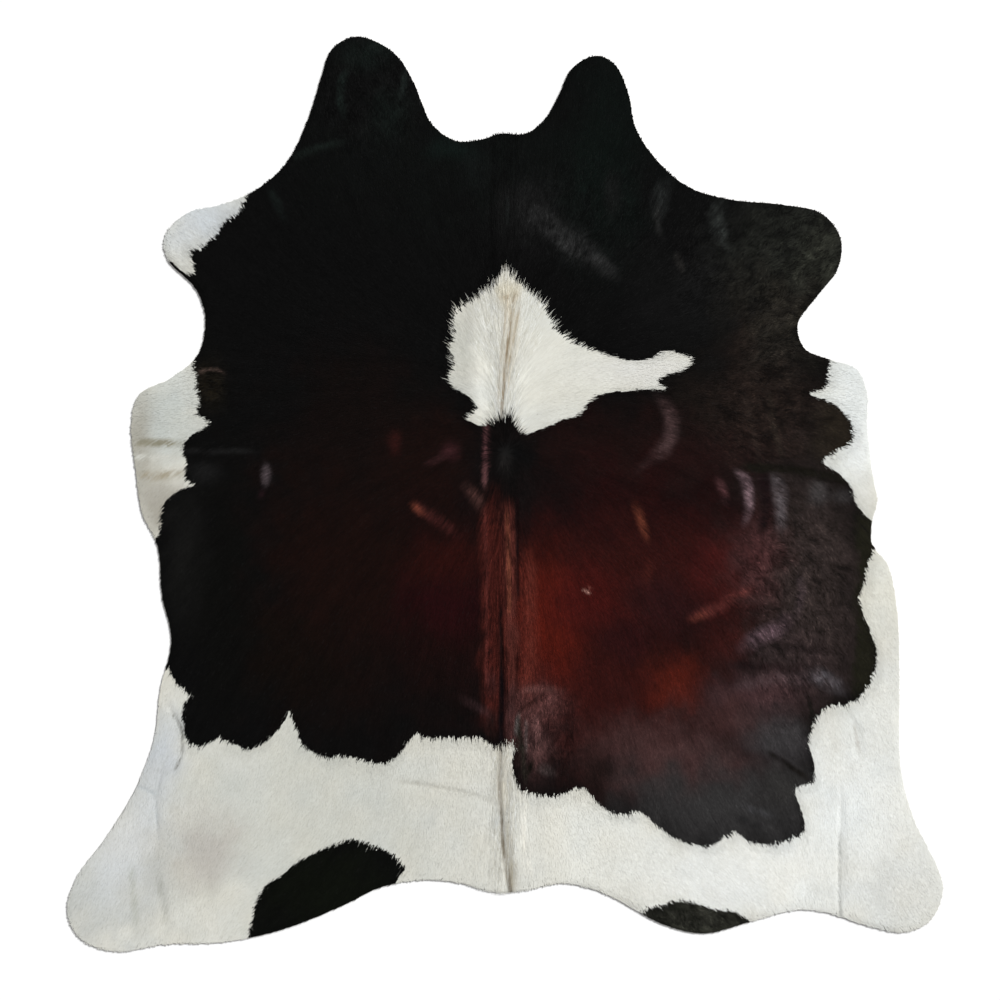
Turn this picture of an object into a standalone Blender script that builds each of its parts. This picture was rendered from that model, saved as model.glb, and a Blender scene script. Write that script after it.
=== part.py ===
"""Cowhide rug: one whole hair-on hide, cut to its natural outline and lying flat.

Metres, +Z up. The origin is on the floor under the middle of the hide. +Y runs
along the spine to the neck, +X to the right foreleg. The underside is flat. The
hair side is uneven: a low ridge along the spine, creases and broad swells.
"""

import math

import bmesh
import bpy
import numpy as np
from mathutils import Vector
from mathutils.geometry import delaunay_2d_cdt

CM = 0.01
MM = 0.001

LEATHER = 2.5 * MM            # tanned skin
PILE = 4.0 * MM               # hair lying flat on the skin
EDGE_THICKNESS = 4.0 * MM     # hide and thinning hair at the cut edge
EDGE_WIDTH = 16 * MM          # from the cut edge to full thickness

OUTLINE_STEP = 24 * MM        # spacing of points along the cut edge
SURFACE_STEP = 46 * MM        # spacing of points over the hair side
FOLD_STEP = 34 * MM           # spacing of points along a fold
LEAST_GAP = 11 * MM           # between any two points of the hair side
CURVE_STEPS = 12              # straight steps between two outline points
FOLD_SAMPLES = 24             # points that stand for a fold's centre line
FOLD_FADE = 0.25              # share of a fold's length over which each end fades

# The cut edge, clockwise from the neck as (x, y) in centimetres.
OUTLINE_CM = {
    "neck": [(-11.8, 84.7), (-5.5, 85.0), (-1.2, 86.4), (5.0, 86.4), (9.6, 89.8)],
    "right ear": [(13.0, 95.5), (16.3, 102.2), (22.1, 105.1), (26.4, 103.0), (29.5, 96.5)],
    "right shoulder": [(31.4, 87.8), (36.2, 80.4), (43.9, 73.7), (54.0, 70.6), (66.2, 69.4)],
    "right foreleg": [(76.1, 67.2), (80.6, 61.2), (79.9, 54.0), (74.6, 47.0), (70.3, 40.6)],
    "right elbow": [(72.0, 34.8), (78.0, 32.2), (84.5, 29.8), (86.9, 23.8), (86.9, 16.1)],
    "right flank": [(88.3, 3.8), (89.3, -1.4), (88.1, -6.7), (88.1, -12.2), (91.7, -16.8)],
    "right belly": [(94.1, -28.3), (94.6, -44.6), (95.0, -66.5), (98.4, -78.7)],
    "right hind leg": [(103.7, -89.5), (105.1, -95.0), (102.2, -102.2), (96.0, -105.1)],
    "right rump": [(87.6, -103.7), (76.8, -100.3), (70.3, -99.8), (58.6, -102.7), (47.8, -105.4)],
    "right of tail": [(37.9, -103.2), (24.0, -95.8), (14.2, -93.4), (5.0, -95.0)],
    "left of tail": [(-2.4, -95.5), (-10.3, -93.4), (-18.0, -92.6), (-24.7, -93.1)],
    "left rump": [(-31.0, -94.8), (-38.6, -98.6), (-53.8, -104.6), (-67.7, -107.5)],
    "left hind leg": [(-81.4, -108.0), (-93.6, -109.7), (-101.8, -106.6), (-104.9, -100.1)],
    "left belly": [(-102.8, -92.4), (-95.0, -81.5), (-88.3, -70.3), (-84.0, -58.8)],
    "left flank": [(-82.6, -47.3), (-79.9, -35.0), (-82.1, -24.5), (-83.3, -12.2)],
    "left elbow": [(-86.9, -4.6), (-88.3, 4.6), (-89.5, 16.8), (-87.6, 23.8), (-79.9, 27.8)],
    "left foreleg": [(-73.4, 33.6), (-71.8, 42.7), (-74.4, 49.7), (-80.6, 55.9), (-81.6, 61.4)],
    "left shoulder": [(-76.3, 67.2), (-67.7, 69.4), (-60.0, 72.7), (-52.3, 79.4)],
    "left ear": [(-47.0, 90.2), (-43.9, 100.1), (-41.3, 106.8), (-35.5, 109.7)],
    "left of neck": [(-26.6, 105.8), (-21.6, 98.2), (-20.0, 94.0), (-17.4, 88.6)],
}

# Ridges (+) and troughs (-): start, middle and end in centimetres, half width and height in mm.
FOLDS = {
    "spine ridge":         ((-2.0, 78.0), (1.5, -5.0), (0.5, -90.0), 60, 2.2),
    "spine furrow":        ((1.6, 4.0), (2.2, -28.0), (1.8, -60.0), 18, -1.4),
    "tail crease":         ((1.5, -62.0), (0.0, -78.0), (1.5, -93.0), 18, -1.4),
    "neck crease":         ((-2.4, 74.0), (-2.2, 63.0), (-2.6, 52.0), 18, 1.2),
    "right neck fold":     ((38.5, 74.5), (37.0, 69.5), (38.0, 64.0), 20, 1.2),
    "right foreleg fold":  ((50.5, 69.0), (50.8, 65.0), (53.0, 59.5), 20, 1.2),
    "shoulder ridge":      ((34.5, 23.0), (38.0, 15.0), (32.0, 6.0), 22, 1.1),
    "left flank ridge":    ((-57.4, 8.0), (-57.8, 4.5), (-57.0, 0.0), 20, 1.1),
    "left back ridge":     ((-21.0, -3.8), (-15.0, -6.5), (-9.0, -10.5), 22, 1.0),
    "right flank fold":    ((55.0, 3.8), (68.0, 3.4), (84.0, 3.6), 20, 1.6),
    "right flank band 1":  ((57.6, 1.0), (57.4, -7.0), (58.5, -16.0), 22, 1.0),
    "right flank band 2":  ((65.2, 1.0), (65.0, -6.0), (64.5, -13.0), 22, 1.0),
    "right flank band 3":  ((75.5, 1.0), (75.2, -6.0), (75.5, -13.0), 22, 1.0),
    "back ridge":          ((44.0, -31.5), (51.5, -28.5), (58.0, -24.5), 24, 1.2),
    "right flank hollow":  ((54.0, -41.0), (62.0, -42.0), (70.0, -41.5), 24, -1.3),
    "right thigh hollow":  ((58.0, -58.0), (66.0, -63.0), (74.0, -68.0), 24, -1.4),
    "right rump hollow":   ((57.0, -75.4), (62.4, -78.7), (68.4, -80.4), 26, -1.4),
    "right belly crease":  ((82.0, -54.0), (84.7, -57.6), (84.0, -62.5), 18, -1.1),
    "right leg crease":    ((80.4, -72.0), (80.6, -86.0), (80.3, -101.0), 18, -1.3),
    "left belly crease":   ((-83.0, -47.0), (-78.5, -57.8), (-80.9, -69.8), 18, -1.3),
    "left thigh crease":   ((-81.8, -65.0), (-83.5, -72.5), (-83.3, -83.5), 18, -1.2),
    "left leg crease":     ((-83.3, -92.6), (-81.8, -98.6), (-80.2, -105.0), 20, -1.3),
    "rump crease":         ((-28.0, -68.0), (-16.0, -71.5), (-3.0, -73.0), 20, -1.1),
}

# Broad swells of the hair side: centre in centimetres, radius in cm, height in mm.
SWELLS = {
    "left ear":        ((-33.0, 100.0), 14, 0.8),
    "right ear":       ((22.0, 98.0), 12, 0.8),
    "left foreleg":    ((-74.0, 62.0), 14, 0.9),
    "right foreleg":   ((73.0, 58.0), 14, 0.9),
    "left shoulder":   ((-38.0, 42.0), 30, 1.0),
    "right shoulder":  ((40.0, 44.0), 30, 1.0),
    "left flank":      ((-56.0, -12.0), 26, 0.9),
    "right flank":     ((60.0, -34.0), 28, 0.9),
    "left rump":       ((-46.0, -82.0), 28, 1.1),
    "right rump":      ((44.0, -86.0), 26, 1.1),
    "left hind leg":   ((-94.0, -98.0), 16, 1.1),
    "right hind leg":  ((96.0, -94.0), 16, 1.1),
}

DARK_HAIR = (0.022, 0.014, 0.013, 1.0)
SUEDE = (0.36, 0.30, 0.24, 1.0)


def clear_scene():
    """Remove every object, so that the model stands alone."""
    for obj in list(bpy.data.objects):
        bpy.data.objects.remove(obj, do_unlink=True)


def hermite_span(before, start, end, after, steps):
    """Points from start up to end on a centripetal Catmull-Rom span."""
    gap_before, gap, gap_after = (
        math.sqrt(np.linalg.norm(b - a)) for a, b in ((before, start), (start, end), (end, after))
    )
    chord = (end - start) / gap
    leave = gap * ((start - before) / gap_before - (end - before) / (gap_before + gap) + chord)
    arrive = gap * (chord - (after - start) / (gap + gap_after) + (after - end) / gap_after)
    t = np.linspace(0.0, 1.0, steps, endpoint=False)[:, None]
    return (
        (2 * t**3 - 3 * t**2 + 1) * start
        + (t**3 - 2 * t**2 + t) * leave
        + (3 * t**2 - 2 * t**3) * end
        + (t**3 - t**2) * arrive
    )


def cut_edge(spacing):
    """Evenly spaced points of the cut edge, clockwise, centred on their own box."""
    corners = np.array([point for stretch in OUTLINE_CM.values() for point in stretch]) * CM
    count = len(corners)
    dense = np.vstack([
        hermite_span(*(corners[(i + k) % count] for k in (-1, 0, 1, 2)), CURVE_STEPS)
        for i in range(count)
    ])
    loop = np.vstack((dense, dense[:1]))
    travelled = np.concatenate(([0.0], np.cumsum(np.linalg.norm(np.diff(loop, axis=0), axis=1))))
    number = round(travelled[-1] / spacing)
    wanted = np.arange(number) * travelled[-1] / number
    edge = np.column_stack([np.interp(wanted, travelled, loop[:, axis]) for axis in (0, 1)])
    return edge - (edge.min(axis=0) + edge.max(axis=0)) / 2


def inset(edge, distance):
    """The edge moved inwards by distance."""
    along = np.roll(edge, -1, axis=0) - np.roll(edge, 1, axis=0)
    along /= np.linalg.norm(along, axis=1)[:, None]
    inward = np.column_stack((along[:, 1], -along[:, 0]))
    return edge + distance * inward


def inside(points, edge):
    """Whether each point lies inside the edge, by the crossings of a ray along +X."""
    ends = np.roll(edge, -1, axis=0)
    x, y = points[:, :1], points[:, 1:]
    straddles = (edge[:, 1] > y) != (ends[:, 1] > y)
    rise = np.where(ends[:, 1] == edge[:, 1], 1.0, ends[:, 1] - edge[:, 1])
    crossing = edge[:, 0] + (y - edge[:, 1]) * (ends[:, 0] - edge[:, 0]) / rise
    return (straddles & (x < crossing)).sum(axis=1) % 2 == 1


def edge_distance(points, edge):
    """Distance of each point to the nearest point of the edge."""
    return np.sqrt(((points[:, None, :] - edge[None, :, :]) ** 2).sum(axis=2)).min(axis=1)


def fold_line(start, middle, end, samples):
    """A fold's centre line: a bow from start to end that passes through middle."""
    start, middle, end = (np.array(point) * CM for point in (start, middle, end))
    control = 2 * middle - (start + end) / 2
    t = np.linspace(0.0, 1.0, samples)[:, None]
    return (1 - t) ** 2 * start + 2 * t * (1 - t) * control + t**2 * end


def fold_height(points, start, middle, end, half_width, height):
    """Height that one fold adds: a rounded ridge or trough that fades at both ends."""
    line = fold_line(start, middle, end, FOLD_SAMPLES)
    distance = np.sqrt(((points[:, None, :] - line[None, :, :]) ** 2).sum(axis=2))
    nearest = distance.argmin(axis=1)
    across = np.clip(distance.min(axis=1) / (half_width * MM), 0.0, 1.0)
    along = nearest / (FOLD_SAMPLES - 1)
    fade = np.clip(np.minimum(along, 1 - along) / FOLD_FADE, 0.0, 1.0)
    return height * MM * np.cos(across * math.pi / 2) ** 2 * np.sin(fade * math.pi / 2)


def swell_height(points, centre, radius, height):
    """Height that one broad swell adds."""
    distance = np.linalg.norm(points - np.array(centre) * CM, axis=1)
    return height * MM * np.cos(np.clip(distance / (radius * CM), 0.0, 1.0) * math.pi / 2) ** 2


def hair_side_height(points, edge):
    """Height of the hair side over the floor at each point."""
    shoulder = np.clip(edge_distance(points, edge) / EDGE_WIDTH, 0.0, 1.0)
    full = LEATHER + PILE - EDGE_THICKNESS
    full = full + sum(fold_height(points, *fold) for fold in FOLDS.values())
    full = full + sum(swell_height(points, *swell) for swell in SWELLS.values())
    return EDGE_THICKNESS + full * np.sin(shoulder * math.pi / 2)


def fold_points():
    """Rows of points along each fold: its centre line, its flanks and its feet."""
    rows = []
    for start, middle, end, half_width, _ in FOLDS.values():
        length = np.linalg.norm(np.subtract(end, start)) * CM
        line = fold_line(start, middle, end, max(3, round(length / FOLD_STEP) + 1))
        direction = line[-1] - line[0]
        side = np.array((-direction[1], direction[0])) / np.linalg.norm(direction)
        rows += [line + side * half_width * MM * share for share in (0.0, -0.5, 0.5, -1.0, 1.0)]
    return np.vstack(rows)


def surface_grid():
    """A staggered grid of points that covers the whole hide."""
    reach = 1.2
    row_height = SURFACE_STEP * math.sqrt(3) / 2
    grid = []
    for row, y in enumerate(np.arange(-reach, reach, row_height)):
        x = np.arange(-reach, reach, SURFACE_STEP) + SURFACE_STEP / 2 * (row % 2)
        grid.append(np.column_stack((x, np.full_like(x, y))))
    return np.vstack(grid)


def hair_side_points(edge):
    """The edge's points, then those inside it: the inset row, the folds and the grid."""
    row = inset(edge, EDGE_WIDTH)
    loose = np.vstack((fold_points(), surface_grid()))
    loose = loose[inside(loose, edge)]
    loose = loose[edge_distance(loose, edge) > EDGE_WIDTH + LEAST_GAP]
    kept = list(row)
    for point in loose:
        if np.linalg.norm(np.array(kept) - point, axis=1).min() > LEAST_GAP:
            kept.append(point)
    return np.vstack((edge, kept))


def principled(name, color, roughness):
    """A plain material of the part's colour."""
    material = bpy.data.materials.new(name)
    material.use_nodes = True
    shader = material.node_tree.nodes["Principled BSDF"]
    shader.inputs["Base Color"].default_value = color
    shader.inputs["Roughness"].default_value = roughness
    shader.inputs["Metallic"].default_value = 0.0
    return material


def build_hide():
    """The hide as one closed sheet: flat suede below, a thin cut edge, uneven hair above."""
    edge = cut_edge(OUTLINE_STEP)
    points = hair_side_points(edge)
    count = len(edge)
    flat = [Vector(point) for point in points]
    flat, _, triangles, *_ = delaunay_2d_cdt(flat, [], [list(range(count))], 1, 0.1 * MM)
    heights = hair_side_height(np.array(flat), edge)

    mesh = bpy.data.meshes.new("hide")
    sheet = bmesh.new()
    above = [sheet.verts.new((p.x, p.y, z)) for p, z in zip(flat, heights)]
    below = [sheet.verts.new((p.x, p.y, 0.0)) for p in flat[:count]]
    for triangle in triangles:
        sheet.faces.new([above[i] for i in triangle]).smooth = True
    suede_faces = [sheet.faces.new(below)]
    for i in range(count):
        j = (i + 1) % count
        suede_faces.append(sheet.faces.new((above[i], above[j], below[j], below[i])))
    for face in suede_faces:
        face.material_index = 1
    bmesh.ops.recalc_face_normals(sheet, faces=sheet.faces)
    sheet.to_mesh(mesh)
    sheet.free()

    mesh.materials.append(principled("dark_hair", DARK_HAIR, 0.55))
    mesh.materials.append(principled("suede", SUEDE, 0.9))
    hide = bpy.data.objects.new("hide", mesh)
    bpy.context.scene.collection.objects.link(hide)
    return hide


clear_scene()
build_hide()
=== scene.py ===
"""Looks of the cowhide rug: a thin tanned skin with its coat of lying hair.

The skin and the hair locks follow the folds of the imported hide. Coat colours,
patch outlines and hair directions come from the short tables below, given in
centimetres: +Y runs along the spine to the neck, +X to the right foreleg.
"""

import math

import bmesh
import bpy
import numpy as np
from mathutils.geometry import delaunay_2d_cdt
from mathutils.kdtree import KDTree
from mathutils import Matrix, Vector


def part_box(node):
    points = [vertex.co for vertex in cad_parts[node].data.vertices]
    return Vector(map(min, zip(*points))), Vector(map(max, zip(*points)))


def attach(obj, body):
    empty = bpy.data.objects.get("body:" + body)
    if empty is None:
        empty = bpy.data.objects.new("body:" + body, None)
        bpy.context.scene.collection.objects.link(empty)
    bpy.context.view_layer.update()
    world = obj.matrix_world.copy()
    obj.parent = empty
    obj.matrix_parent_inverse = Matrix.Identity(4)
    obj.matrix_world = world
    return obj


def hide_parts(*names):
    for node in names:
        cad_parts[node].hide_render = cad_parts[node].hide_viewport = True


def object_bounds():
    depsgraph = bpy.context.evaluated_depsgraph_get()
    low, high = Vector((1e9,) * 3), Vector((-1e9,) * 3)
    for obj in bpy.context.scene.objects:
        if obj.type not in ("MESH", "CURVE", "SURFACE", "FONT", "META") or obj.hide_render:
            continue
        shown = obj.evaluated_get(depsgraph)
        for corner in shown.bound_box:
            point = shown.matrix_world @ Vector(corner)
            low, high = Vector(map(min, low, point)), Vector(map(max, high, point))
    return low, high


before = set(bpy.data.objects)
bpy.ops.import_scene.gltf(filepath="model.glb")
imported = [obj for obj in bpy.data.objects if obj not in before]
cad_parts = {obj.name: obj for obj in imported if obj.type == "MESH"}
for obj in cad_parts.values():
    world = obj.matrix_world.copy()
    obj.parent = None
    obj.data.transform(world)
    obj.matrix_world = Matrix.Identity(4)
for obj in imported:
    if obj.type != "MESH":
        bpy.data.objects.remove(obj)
cad_low, cad_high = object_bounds()

CM = 0.01
MM = 0.001

LEATHER = 2.5 * MM  # tanned skin
UNDERHAIR = 2.8 * MM  # dense lying hair that the top locks rest on
UNDERCOAT = 0.4 * MM  # how high it stands in the gaps between the locks
EDGE_THICKNESS = 2.9 * MM  # skin and thinning hair at the cut edge
EDGE_WIDTH = 16 * MM  # from the cut edge to full thickness
SKIN_STEP = 12 * MM  # spacing of the skin's points
UNDERSIDE_STEP = 45 * MM  # spacing of the suede side's points
EDGE_STEP = 8 * MM  # spacing of points along the cut edge
EDGE_GAP = 0.6  # least distance of other points from the cut edge, as a share of their spacing
SNAP = 0.01 * MM  # points nearer than this are one
PATCH_STEP = 4 * MM  # spacing of points along a patch's outline
GRID_STEP = 4 * MM  # spacing of the maps
GRID_MARGIN = 3 * CM  # how far the maps reach past the hide's box
CURVE_STEPS = 12  # straight steps between two outline points
FOLD_SAMPLES = 40  # points that stand for a fold's centre line
FOLD_FADE = 0.25  # share of a fold's length over which each end fades
FOLD_SHOW = 0.4  # how much of the folds' slope the lying hair shows
SLOPE_STEP = 2 * MM  # half the distance over which a crease's slope is taken
CREASE_SINK = 0.3  # how far hair sinks into a crease, as a share of its depth
CREASE_STRAY = 1.6 * MM  # how far a crease strays from its even line
NOISE_CELLS = 512  # bumps of a soft noise before it repeats

LOCK_PITCH = 3.6 * MM  # spacing of hair locks
LOCKS_A_PIECE = 60_000  # three triangles each
LOCK_WIDTH = 3.0 * MM
LOCK_LENGTH = 16 * MM
LOCK_LIFT = 0.9 * MM  # how high a lock's middle stands over the skin
WISP_PITCH = 3.6 * MM  # spacing of fine wisps at patch edges and on the spine
WISP_BAND = 10 * MM  # how far from a patch's edge wisps grow
WISP_WIDTH = 1.0 * MM
WISP_LENGTH = 22 * MM
WISP_LIFT = 1.15 * MM
LONG_ENOUGH = 0.7  # extra length from which hair grows in wisps, from 0 to 1
SPINE_REACH = 5 * CM  # half width of the longer hair along the spine
LONG_BACK = 0.9  # extra length in the middle of LONG_HAIR
OVERHANG = 0.7 * MM  # how far hair tips reach past the cut edge
TRIM = 0.88  # share of its length that a lock which reaches farther is cut to
TRIMS = 12  # how often it is cut, at most

# A lock's five corners. Each lies at its root, middle or tip (0, 1, 2).
LOCK_STATIONS = (0, 0, 1, 1, 2)
# Painted shade: each lock darker at its root, where other hair shades it, a touch lighter at its
# tip.
LOCK_ROOT_SHADE = (0.94, 0.94, 1.0, 1.0, 1.02)  # share of the hair's colour
STRAND_CORNERS = [(0, 0), (1, 0), (1, 0.6), (0, 0.6), (0.5, 1)]  # places in its grain
STRAND_KINDS = 97  # different grains
ROOT_WIDTH = 0.7  # width at the root, as a share of that in the middle
ROOT_DEPTH = 0.2 * MM
TIP_LIFT = 0.9  # height of the tip, as a share of that of the middle
LIFT_REACH = 1.5 * CM  # from the cut edge to full height
LIFT_AT_EDGE = 0.7  # least share of the height, at the cut edge
LOCK_ROUND = 0.04  # how far the normals lean outwards on either side
LOCK_ROLL = 0.02  # spread of their lean to one side, from lock to lock
LOCK_RISE = 0.03  # how far they lean back towards the root

# What chance and the kind of hair make of a lock.
HAIR_SEED = 5
ROOT_JITTER = 0.45  # how far a root strays, as a share of the spacing
LENGTHS = (0.75, 1.25)  # least and most share of its length
LIFTS = (0.9, 1.1)  # of its height
WIDTHS = (0.75, 1.2)  # of its width
LONGER, SHORTER = 0.5, 0.2  # share of its length that long hair gains and that curls lose
NARROWER = 0.3  # share of its width that a fine lock lacks
LOCK_STRAY = (0.06, 0.2)  # spread of its turn in radians, and what curls add
CURL_TURN = 0.7  # how far the curls turn it, in radians
TOOTH_PLACE = (0.5, -0.3)  # where along it the patches are looked up, and what long wisps add
TOOTH_SPREAD = (3, 4)  # spread of that place in mm, and what long wisps add
SHADE_REACH = 0.7  # most by which its shade strays, as a power of e
LIGHTEST = 0.95

STREAK_ENDS = 3  # half widths over which a streak of colour fades at each end
STRAND_STRIDE = 1.5  # noise is drawn out in steps of this many cells

# The cut edge, clockwise from the neck.
OUTLINE_CM = {
    "neck": [(-11.8, 84.7), (-5.5, 85), (-1.2, 86.4), (5, 86.4), (9.6, 89.8)],
    "right ear": [(13, 95.5), (16.3, 102.2), (22.1, 105.1), (26.4, 103), (29.5, 96.5)],
    "right shoulder": [(31.4, 87.8), (36.2, 80.4), (43.9, 73.7), (54, 70.6), (66.2, 69.4)],
    "right foreleg": [(76.1, 67.2), (80.6, 61.2), (79.9, 54), (74.6, 47), (70.3, 40.6)],
    "right elbow": [(72, 34.8), (78, 32.2), (84.5, 29.8), (86.9, 23.8), (86.9, 16.1)],
    "right flank": [(88.3, 3.8), (89.3, -1.4), (88.1, -6.7), (88.1, -12.2), (91.7, -16.8)],
    "right belly": [(94.1, -28.3), (94.6, -44.6), (95, -66.5), (98.4, -78.7)],
    "right hind leg": [(103.7, -89.5), (105.1, -95), (102.2, -102.2), (96, -105.1)],
    "right rump": [(87.6, -103.7), (76.8, -100.3), (70.3, -99.8), (58.6, -102.7), (47.8, -105.4)],
    "right of tail": [(37.9, -103.2), (24, -95.8), (14.2, -93.4), (5, -95)],
    "left of tail": [(-2.4, -95.5), (-10.3, -93.4), (-18, -92.6), (-24.7, -93.1)],
    "left rump": [(-31, -94.8), (-38.6, -98.6), (-53.8, -104.6), (-67.7, -107.5)],
    "left hind leg": [(-81.4, -108), (-93.6, -109.7), (-101.8, -106.6), (-104.9, -100.1)],
    "left belly": [(-102.8, -92.4), (-95, -81.5), (-88.3, -70.3), (-84, -58.8)],
    "left flank": [(-82.6, -47.3), (-79.9, -35), (-82.1, -24.5), (-83.3, -12.2)],
    "left elbow": [(-86.9, -4.6), (-88.3, 4.6), (-89.5, 16.8), (-87.6, 23.8), (-79.9, 27.8)],
    "left foreleg": [(-73.4, 33.6), (-71.8, 42.7), (-74.4, 49.7), (-80.6, 55.9), (-81.6, 61.4)],
    "left shoulder": [(-76.3, 67.2), (-67.7, 69.4), (-60, 72.7), (-52.3, 79.4)],
    "left ear": [(-47, 90.2), (-43.9, 100.1), (-41.3, 106.8), (-35.5, 109.7)],
    "left of neck": [(-26.6, 105.8), (-21.6, 98.2), (-20, 94), (-17.4, 88.6)],
}

# Outlines of the dark hair. Where dark hair reaches the cut edge, the loop runs outside it.
DARK_PATCHES_CM = {
    "coat": {
        "past the neck": [(-60, 76), (-52, 113), (-28, 113), (0, 96),
                          (22, 112), (40, 100), (84, 76), (86, 50), (75.5, 38)],
        "right elbow": [(78, 32.2), (77.3, 29), (76.8, 25.7), (73, 24), (78.5, 21.8),
                        (81.4, 19.2), (83.3, 16.3), (83, 13), (79.9, 10.3), (76.1, 7.7)],
        "right flank": [(79.9, 5), (83, 1.4), (83.8, -1.4), (85.9, -4.6), (90, -8.6),
                        (91, -13), (88.1, -14.4), (86.4, -20.2), (85, -25.4), (87.6, -33)],
        "right thigh": [(89, -37.4), (89, -41.3), (87.6, -45.1), (85.2, -48.5), (82.3, -50.4),
                        (77.3, -51.1), (74.2, -55), (73, -60.2), (74.2, -65.8), (74, -69),
                        (69.6, -70.6)],
        "right rump": [(71.5, -77.3), (71.5, -81.1), (67.7, -83), (63.8, -84), (58.6, -83.3),
                       (55.4, -81.1), (52.3, -82.6), (49, -84.5), (44.6, -83.8), (39.4, -81.8),
                       (35.5, -78.7), (32.2, -76.1)],
        "right of tail": [(29.5, -76.8), (26, -76.5), (24, -75.6), (20.9, -72.7), (19.4, -70.6),
                          (16.3, -71), (12.5, -72.5), (6.5, -71.8), (3.4, -70.3), (2.4, -67.7),
                          (1.7, -64.3), (1.9, -59.3)],
        "left of tail": [(-2.4, -60), (-4.8, -59), (-9.6, -58.3), (-15.6, -58.6), (-19.4, -58.3),
                         (-21.1, -57.2), (-23.3, -59.5), (-25.4, -62.4), (-29.5, -64.6),
                         (-37.2, -63), (-43.4, -62.9), (-48.3, -60.5), (-49.8, -57.2),
                         (-50.9, -54.2)],
        "left thigh": [(-51.7, -52.2), (-52.8, -54.4), (-56.2, -58.4), (-61.9, -61.2), (-66, -59.5),
                       (-69, -58.6), (-72, -60.2), (-75.4, -60), (-77, -56.2),
                       (-76.8, -49.7), (-75.4, -48.7), (-79, -45.1), (-81.4, -41.8)],
        "past the left flank": [(-86, -40), (-87.5, -24), (-87.5, -13)],
        "left elbow": [(-83.3, -10.1), (-81.8, -2.4), (-78, 1), (-74.2, 2.2), (-76.6, 3.6),
                       (-76.4, 7.4), (-77.3, 11.3), (-74.9, 14.2), (-71, 17), (-73.7, 19.4),
                       (-73.4, 22), (-74.2, 26), (-74.6, 31.7)],
        "left foreleg": [(-78, 40), (-84, 52), (-80.6, 55.9), (-76.6, 52.8), (-74.4, 52.6),
                         (-75.1, 58), (-72.2, 59.3), (-69, 62.4), (-66.2, 65.8), (-63.4, 67.9),
                         (-62.6, 70.3)],
    },
    "left rump": {
        "edge": [(-63, -111), (-61.4, -106.3), (-60.7, -101.8), (-59.3, -97.2), (-56.9, -93.4),
                 (-53.8, -91.7), (-49.9, -88.3), (-45.4, -85.9), (-40.6, -83.8), (-36.2, -83),
                 (-33.1, -83.8), (-27.1, -86.4), (-24, -89.5), (-25.4, -91.7), (-28, -96),
                 (-44, -106)],
    },
    "right rump": {
        "edge": [(31, -101.5), (36, -98.9), (38, -98.6), (42, -97.2), (45.4, -97.9),
                 (49.2, -99.4), (54.7, -100.1), (58.6, -102.5), (56, -108), (38, -107)],
    },
}

# The white patch on the back, a hole in the dark coat.
WHITE_PATCH_CM = [
    (0, 53.4), (-1.2, 51.4), (-2.2, 49.6), (-4.4, 48.8), (-6.2, 46.9), (-8.8, 45.5),
    (-11, 44.3), (-12.2, 42.2), (-12.1, 38.8), (-13, 35.4), (-12.2, 32), (-12.8, 29.6),
    (-13.6, 27.2), (-11.6, 25.4), (-9.9, 24.2), (-7.6, 22.3), (-6.6, 20.2), (-8.8, 18.2),
    (-7.2, 16.8), (-5, 16.2), (-3.2, 16.8), (-1, 17.6), (1.3, 18.6), (2.6, 15.8),
    (5, 14.4), (8.2, 15.4), (13.2, 17.5), (17.8, 19.2), (20, 22), (23.5, 24.2),
    (28.6, 24.6), (33.6, 25.1), (38.6, 25.3), (36.5, 27), (38.2, 28.6), (42, 29.5),
    (44.8, 32.4), (41.5, 33.6), (38.6, 34.5), (34.6, 32.4), (29, 32.1), (24, 33.6),
    (16.6, 36.2), (12, 39.6), (9.8, 43.8), (7.2, 46.6), (4.2, 49.2), (1.6, 51.4),
]

# Ridges (+) and troughs (-): start, middle and end, half width and height in mm.
FOLDS = {
    "spine ridge": ((-2, 78), (1.5, -5), (0.5, -90), 60, 2.2),
    "spine furrow": ((1.6, 4), (2.2, -28), (1.8, -60), 18, -1.4),
    "tail crease": ((1.5, -62), (0, -78), (1.5, -93), 18, -1.4),
    "neck crease": ((-2.4, 74), (-2.2, 63), (-2.6, 52), 18, 1.2),
    "right neck fold": ((38.5, 74.5), (37, 69.5), (38, 64), 20, 1.2),
    "right foreleg fold": ((50.5, 69), (50.8, 65), (53, 59.5), 20, 1.2),
    "shoulder ridge": ((34.5, 23), (38, 15), (32, 6), 22, 1.1),
    "left flank ridge": ((-57.4, 8), (-57.8, 4.5), (-57, 0), 20, 1.1),
    "left back ridge": ((-21, -3.8), (-15, -6.5), (-9, -10.5), 22, 1),
    "right flank fold": ((55, 3.8), (68, 3.4), (84, 3.6), 20, 1.6),
    "right flank band 1": ((57.6, 1), (57.4, -7), (58.5, -16), 22, 1),
    "right flank band 2": ((65.2, 1), (65, -6), (64.5, -13), 22, 1),
    "right flank band 3": ((75.5, 1), (75.2, -6), (75.5, -13), 22, 1),
    "back ridge": ((44, -31.5), (51.5, -28.5), (58, -24.5), 24, 1.2),
    "right flank hollow": ((54, -41), (62, -42), (70, -41.5), 24, -1.3),
    "right thigh hollow": ((58, -58), (66, -63), (74, -68), 24, -1.4),
    "right rump hollow": ((57, -75.4), (62.4, -78.7), (68.4, -80.4), 26, -1.4),
    "right belly crease": ((82, -54), (84.7, -57.6), (84, -62.5), 18, -1.1),
    "right leg crease": ((80.4, -72), (80.6, -86), (80.3, -101), 18, -1.3),
    "left belly crease": ((-83, -47), (-78.5, -57.8), (-80.9, -69.8), 18, -1.3),
    "left thigh crease": ((-81.8, -65), (-83.5, -72.5), (-83.3, -83.5), 18, -1.2),
    "left leg crease": ((-83.3, -92.6), (-81.8, -98.6), (-80.2, -105), 20, -1.3),
    "rump crease": ((-28, -68), (-16, -71.5), (-3, -73), 20, -1.1),
}

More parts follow.
